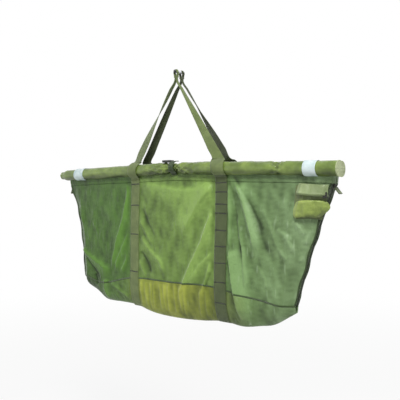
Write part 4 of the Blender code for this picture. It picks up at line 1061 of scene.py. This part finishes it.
def make_neck(side, word):
    """The soft middle between two sleeves, drawn together in pleats."""
    def place(u, v):
        turn = math.tau * u
        closing = np.clip(np.minimum(v, 1 - v) * 24, 0, 1)
        x = NECK_HALF * 1.15 * (2 * v - 1)
        reach = GATHER_RADIUS * (0.70 + 0.30 * (2 * v - 1) ** 2)
        pleat = 0.5 + 0.5 * np.cos(11 * turn + 2.5 * np.sin(3 * turn) + 18 * v)
        spots = round_float(x, turn, (reach - 0.0016 * pleat) * closing, side)
        spots[:, 2] += 0.003 * (1 - (2 * v - 1) ** 2)
        return spots

    neck = close_up(lay_grid(word + "_gathered_neck", 96, 30, place, (0.1, 0.025)))
    dress(neck, SATIN_NYLON, word + "_side", "olive_nylon", word + "_neck")


for side, word in HALVES:
    for hand, end in ENDS:
        make_sleeve(side, word + "_side", f"{word}_{hand}", end)
    make_neck(side, word)
print("sleeves laid")


# %% Reflective bands and end caps
# A flat cap from its hidden back to its middle: share, reach in radii, and the way out.
FLAT_CAP = ((0, 0, -0.001), (0.3, 0.97, -0.001), (0.42, 1.035, 0.0008), (0.5, 1.02, 0.0026), (0.56, 0.93, 0.0022),
            (1, 0, 0.0034))


def make_band(side, body, name, end):
    """A band of tape round a sleeve, with a small gap between its ends underneath."""
    middle, width = BANDS[end]

    def place(u, v):
        x = middle + width * (v - 0.5)
        turn = math.pi + 0.07 + (math.tau - 0.14) * u
        spots = np.stack((x, SLEEVE_RADIUS * np.sin(turn), SLEEVE_RADIUS * np.cos(turn)), 1)
        reach = SLEEVE_RADIUS + 0.0006 + 0.0004 * ripple(spots, 0.03, 31) - 0.0004 * np.abs(2 * v - 1) ** 8
        return round_float(x, turn, reach, side)

    band = lay_grid(name + "_reflective_tape", 96, 24, place, (0.14, width))
    dress(thicken(band, 0.0005), REFLECTIVE, body, "reflective_tape", name + "_reflective_band")


def make_cap(side, body, name, end):
    """The right ends close with a flat disc in a piped rim, the left ones with a limp gathered end."""
    def place(u, v):
        turn = math.tau * u
        if end > 0:
            shares, radii, ways_out = zip(*FLAT_CAP)
            reach = np.interp(v, shares, radii) * SLEEVE_RADIUS
            out = np.interp(v, shares, ways_out) + 0.0005 * np.cos(9 * turn) * hump(v, 0.72, 0.2)
        else:
            reach = np.sqrt(np.clip(1 - (2 * v - 1) ** 2, 0, 1)) ** 0.8 * LIMP_RADIUS
            out = 0.006 * (v * 1.05 - 0.1)
            reach = reach - 0.0012 * (0.5 + 0.5 * np.cos(10 * turn + 3 * np.sin(2 * turn))) * hump(v, 0.6, 0.4)
        return round_float(end * (float_end(side, end) + out), turn, reach, side)

    cap = close_up(lay_grid(name + "_float_end", 84, 40, place, (0.138, 0.05)))
    # the right caps get the paler nylon, as painted light
    dress(cap, LIT_CAP_NYLON if end > 0 else SATIN_NYLON, body, "olive_nylon", name + "_end_cap")


for quarter in QUARTERS:
    make_band(*quarter)
    make_cap(*quarter)
print("bands and ends laid")

# %% [markdown]
# ## The zips
#
# Each end of the bag closes with a coil zip. A woven tape runs from each panel to the coil. The coil's
# turns are 3 mm apart here, with a gap down the middle that the slider's post runs in. One tooth is
# modelled from a cube, bevelled in edit mode, and copied down the arc.

# %% Tapes and teeth
TEETH_NEAR = 0.0008
TEETH_FAR = 0.0036
TOOTH_PITCH = 0.0030
TAPE_INSET = 0.0005


def edge_frame(edge, share, y):
    """Axes on the zip, a share of the way down: outward, across the bag, and up along the zip."""
    angle = edge.start + edge.span * share
    outward = Vector((-edge.side * math.cos(angle), 0, -math.sin(angle)))
    up = outward.cross(Vector((0, edge.side, 0)))
    across = up.cross(outward)
    x, z = edge.point(share, -TAPE_INSET)
    turn = Matrix((outward, across, up)).transposed().to_4x4()
    turn.translation = (x, y, z)
    return turn


def make_tape(side, body, name, end):
    """The woven tape of one half's zip, from the teeth out to the panel's end."""
    edge = EDGES[end]

    def place(u, v):
        x, z = edge.point(1 - v, -TAPE_INSET + 0.0006 * np.sin(v * 70) * u * (1 - u) * 4)
        far = pinched(HALF_SPACING, x, z) + 0.001
        return np.stack((x, side * (TEETH_FAR - 0.0004 + (far - TEETH_FAR + 0.0004) * u), z), 1)

    add_webbing(name + "_tape", 10, 120, place, (0.02, edge.length), 0.0008, BINDING_WEBBING,
                body, name + "_zip_tape")


def make_teeth(side, body, name, end):
    """One half's row of zip teeth. The rear row is set off along the zip from the front one."""
    edge = EDGES[end]
    bpy.ops.object.select_all(action="DESELECT")
    bpy.ops.mesh.primitive_cube_add(size=1)
    tooth = bpy.context.object
    tooth.scale = (0.0024, TEETH_FAR - TEETH_NEAR, 0.0019)
    bpy.ops.object.transform_apply(location=False, rotation=False, scale=True)
    bpy.ops.object.mode_set(mode="EDIT")
    bpy.ops.mesh.select_all(action="SELECT")
    bpy.ops.mesh.bevel(offset=0.0006, segments=1, affect="EDGES")
    bpy.ops.object.mode_set(mode="OBJECT")
    count = int(edge.length / TOOTH_PITCH)
    copies = []
    for i in range(count):
        copy = tooth.copy()
        copy.data = tooth.data.copy()
        bpy.context.scene.collection.objects.link(copy)
        share = (i + (0.5 if side > 0 else 0.9)) / (count + 1)
        copy.data.transform(edge_frame(edge, share, side * (TEETH_NEAR + TEETH_FAR) / 2))
        copies.append(copy)
    bpy.data.objects.remove(tooth)
    select_only(copies[0])
    for copy in copies:
        copy.select_set(True)
    bpy.ops.object.join()
    row = bpy.context.object
    row.name = name + "_coil"
    dress(row, ZIP_TEETH, body, "zip_black", name + "_zip_teeth")
    row.data.shade_flat()


for quarter in QUARTERS:
    make_tape(*quarter)
    make_teeth(*quarter)
print("zips laid")


# %% Edge bindings and pull tabs
TAB_TURN = 0.12  # share of the tab's half length that lies round the slider's arch


def make_edge_binding(side, body, name, end):
    """A dark tape sewn over the panel's end edge, slightly wavy where the sewing draws the cloth."""
    edge = EDGES[end]

    def place(u, v):
        wave = 0.0022 * np.sin(v * 23 + end) * smooth(v / 0.1) * smooth((1 - v) / 0.1)
        across = 2 * u - 1
        x, z = edge.point(1 - v, 0.0008 - 0.005 * (1 + across) / 2 + wave)
        return np.stack((x, side * (pinched(HALF_SPACING, x, z) + 0.0009 + 0.0008 * (1 - across ** 2)), z), 1)

    add_webbing(name + "_edge_binding", 6, 150, place, (0.006, edge.length), 0.0008, BINDING_WEBBING,
                body)


def make_tab(hand):
    """A short length of webbing doubled through the slider's arch and sewn to itself."""
    node = frame["nodes"][hand + "_pull_tab"]
    record = next(j for j in frame["joints"] if j["name"] == hand + "_tab_swing")
    pin = np.array(record["pos_m"])
    spots = np.array([v.co[:] for v in node.data.vertices])
    way = spots.mean(axis=0) - pin
    way[1] = 0
    way /= np.linalg.norm(way)
    across = np.array((0.0, 1.0, 0.0))
    face = np.cross(across, way)
    length = ((spots - pin) @ way).max()

    def place(u, v):
        turn = (v - 0.5) * 2
        bent, straight = np.abs(turn) / TAB_TURN, (np.abs(turn) - TAB_TURN) / (1 - TAB_TURN)
        down = np.where(np.abs(turn) < TAB_TURN, 0.0006 * bent, straight * length)
        lift = np.sign(turn) * 0.0009 * smooth(bent) + 0.0006 * np.sin(down / length * 5)
        half = (2 * u - 1) * (0.0042 + 0.0058 * smooth(down / length * 4))
        return pin + way * down[:, None] + across * half[:, None] + face * lift[:, None]

    add_webbing(hand + "_tab_webbing", 10, 60, place, (0.017, 2 * length), 0.0009, TAB_WEBBING, hand + "_tab",
                hand + "_pull_tab")


for quarter in QUARTERS:
    make_edge_binding(*quarter)
for hand, _ in ENDS:
    make_tab(hand)
print("bindings and tabs laid")

# %% [markdown]
# ## The stow pocket
#
# The sling folds away into a pocket on its front panel. Empty, the pocket hangs in two soft folds of
# nylon: the flap above, which stands out like an awning with its darker underside showing, and the lower
# fold below it, pinched to a point at its right end.

# %% Pocket, flap and lower fold
# Each profile is (depth, out from the panel) from the sheet's top edge down, and each side is (shares, x).
POUCH_PROFILE = ((0.060, 0.001), (0.066, 0.004), (0.090, 0.006), (0.120, 0.008), (0.145, 0.008), (0.153, 0.005),
                 (0.156, 0.001))
POUCH_SIDES = ((0, 0.5, 1), (0.460, 0.456, 0.462)), ((0, 0.5, 1), (0.556, 0.548, 0.532))
FLAP_PROFILE = ((0.056, 0.0085), (0.062, 0.0110), (0.070, 0.0140), (0.078, 0.0170), (0.0835, 0.0190),
                (0.0845, 0.0180), (0.086, 0.0120), (0.088, 0.0090))
FLAP_SIDES = ((0, 0.5, 1), (0.470, 0.466, 0.462)), ((0, 0.5, 1), (0.558, 0.557, 0.556))
FOLD_PROFILE = ((0.104, 0.008), (0.1055, 0.0135), (0.118, 0.0150), (0.133, 0.0160), (0.149, 0.0150), (0.1515, 0.009))
FOLD_SIDES = ((0, 0.5, 1), (0.466, 0.456, 0.458)), ((0, 0.35, 1), (0.545, 0.560, 0.520))


def panel_out(x, z):
    """How far the right end of the front panel stands from the middle plane."""
    fall = (z - RIGHT_END.top_z) / (RIGHT_END.foot_z - RIGHT_END.top_z)
    return pinched(HALF_SPACING + (SEAM_Y - HALF_SPACING) * np.clip(fall, 0, 1), x, z) + 0.0008


def pocket_sheet(name, finish, profile, sides, wall, body, node, flat, seed):
    """A folded sheet of the pocket, creased by draws from the seed."""
    left, right = sides

    def place(u, v):
        shares = 1 - v
        depth, out = smooth_track(profile, shares).T
        x = read_curve(shares, *left) * (1 - u) + read_curve(shares, *right) * u
        z = -FLOAT_DROP - depth - 0.003 * np.sin(u * 3 + seed)
        spots = np.stack((x, 0 * x, z), 1)
        ends = smooth(np.minimum(u, 1 - u) / 0.15)
        crease = 0.0011 * ripple(spots, 0.030, seed) + 0.0007 * ripple(spots * (1, 1, 0.3), 0.014, seed + 1)
        out = out * (0.45 + 0.55 * ends) + crease * smooth(out / 0.006)
        spots[:, 1] = -panel_out(x, z) - np.maximum(out, 0.0004)
        return spots

    piece = dress(thicken(lay_grid(name, 60, 60, place, flat), wall), finish, body, "pocket_nylon", node)


# the pouch gets the painted-shade copy, the flap and the lower fold the painted-light copies
pocket_sheet("stow_pocket_pouch", SHADED_POCKET_NYLON, POUCH_PROFILE, POUCH_SIDES, 0.0008, "front_side",
             "stow_pocket", (0.105, 0.105), 41)
pocket_sheet("stow_pocket_flap", LIT_FLAP_NYLON, FLAP_PROFILE, FLAP_SIDES, 0.0009, "pocket_flap",
             "pocket_flap", (0.105, 0.040), 43)
pocket_sheet("stow_pocket_lower_fold", LIT_FOLD_NYLON, FOLD_PROFILE, FOLD_SIDES, 0.0009, "front_side",
             "pocket_lower_fold", (0.105, 0.058), 47)
print("pocket laid")

# %% [markdown]
# ## The small fittings
#
# A strap wraps the gathered middle of the front float and ends in a side-release buckle. The two handle
# loops hang on a plain steel rod, and a ball cap on each of its ends keeps them there. The buckle, the zip
# sliders and the pocket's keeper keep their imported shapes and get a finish.

# %% Neck strap, bar and finishes of the hard parts
NECK_WEB_WIDTH = 0.022
ROD_LENGTH = 0.039
BALL_RADIUS = 0.0056
BALL_Y = 0.0205


def make_neck_strap():
    """Webbing from the front of the hem, up over the gathered neck, to the buckle."""
    axis_z = float(float_z(0))
    low = GATHER_RADIUS + 0.0013 + 0.001
    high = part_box("neck_strap")[1][2] - 0.001 - axis_z
    hem_top = axis_z - SLEEVE_RADIUS
    rows = [(0, -HALF_SPACING - 0.0016, hem_top), (0, -HALF_SPACING - 0.0020, hem_top + 0.004)]
    for share in (0, 0.16, 0.33, 0.5, 0.67, 0.84, 1):
        angle = math.radians(150) * (1 - share)
        reach = low + (high - low) * share
        rows.append((0, -HALF_SPACING - reach * math.sin(angle), axis_z + reach * math.cos(angle)))
    rows.append((0, -HALF_SPACING + 0.011, axis_z + high))

    def place(u, v):
        spots = smooth_track(rows, v)
        spots[:, 0] += (u - 0.5) * NECK_WEB_WIDTH
        return spots

    add_webbing("neck_webbing", 8, 60, place, (NECK_WEB_WIDTH, 0.09), 0.0018, BINDING_WEBBING, "front_side",
                "neck_strap")


def make_bar():
    """The steel rod with its two ball caps. The loops lie close together between the balls."""
    bpy.ops.object.select_all(action="DESELECT")
    bpy.ops.mesh.primitive_cylinder_add(vertices=64, radius=BAR_RADIUS, depth=ROD_LENGTH,
                                        rotation=(math.pi / 2, 0, 0))
    bar = bpy.context.object
    bar.name = "steel_weigh_rod"
    bpy.ops.object.transform_apply(location=False, rotation=True, scale=False)
    dress(modify(bar, "BEVEL", width=0.0006, segments=3), STEEL, "weigh_bar", "bar_steel", "weigh_bar")
    for side, word in HALVES:
        bpy.ops.object.select_all(action="DESELECT")
        bpy.ops.mesh.primitive_uv_sphere_add(segments=48, ring_count=24, radius=BALL_RADIUS,
                                             location=(0, side * BALL_Y, 0))
        ball = bpy.context.object
        ball.name = word + "_ball_cap"
        ball.scale = (1.0, 0.9, 1.0)
        bpy.ops.object.transform_apply(location=True, rotation=False, scale=True)
        dress(ball, BALL_NYLON, "weigh_bar", "black_plastic", "bar_cap_" + word)


make_neck_strap()
make_bar()
for finish, names in ((ZIP_METAL, ("left_zip_slider", "right_zip_slider")),
                      (ACETAL, ("buckle_socket", "buckle_plug", "buckle_front_arm", "buckle_rear_arm",
                                "webbing_keeper"))):
    for name in names:
        frame["nodes"][name].data.materials.clear()
        frame["nodes"][name].data.materials.append(finish)
print("fittings finished")

# %% [markdown]
# ## Baking the handles
#
# Each handle is taken off its body, and its place is baked into its points.

# %% Unparent and bake the handles
for side, word in HALVES:
    HANDLES[word].parent = None
    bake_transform(HANDLES[word])
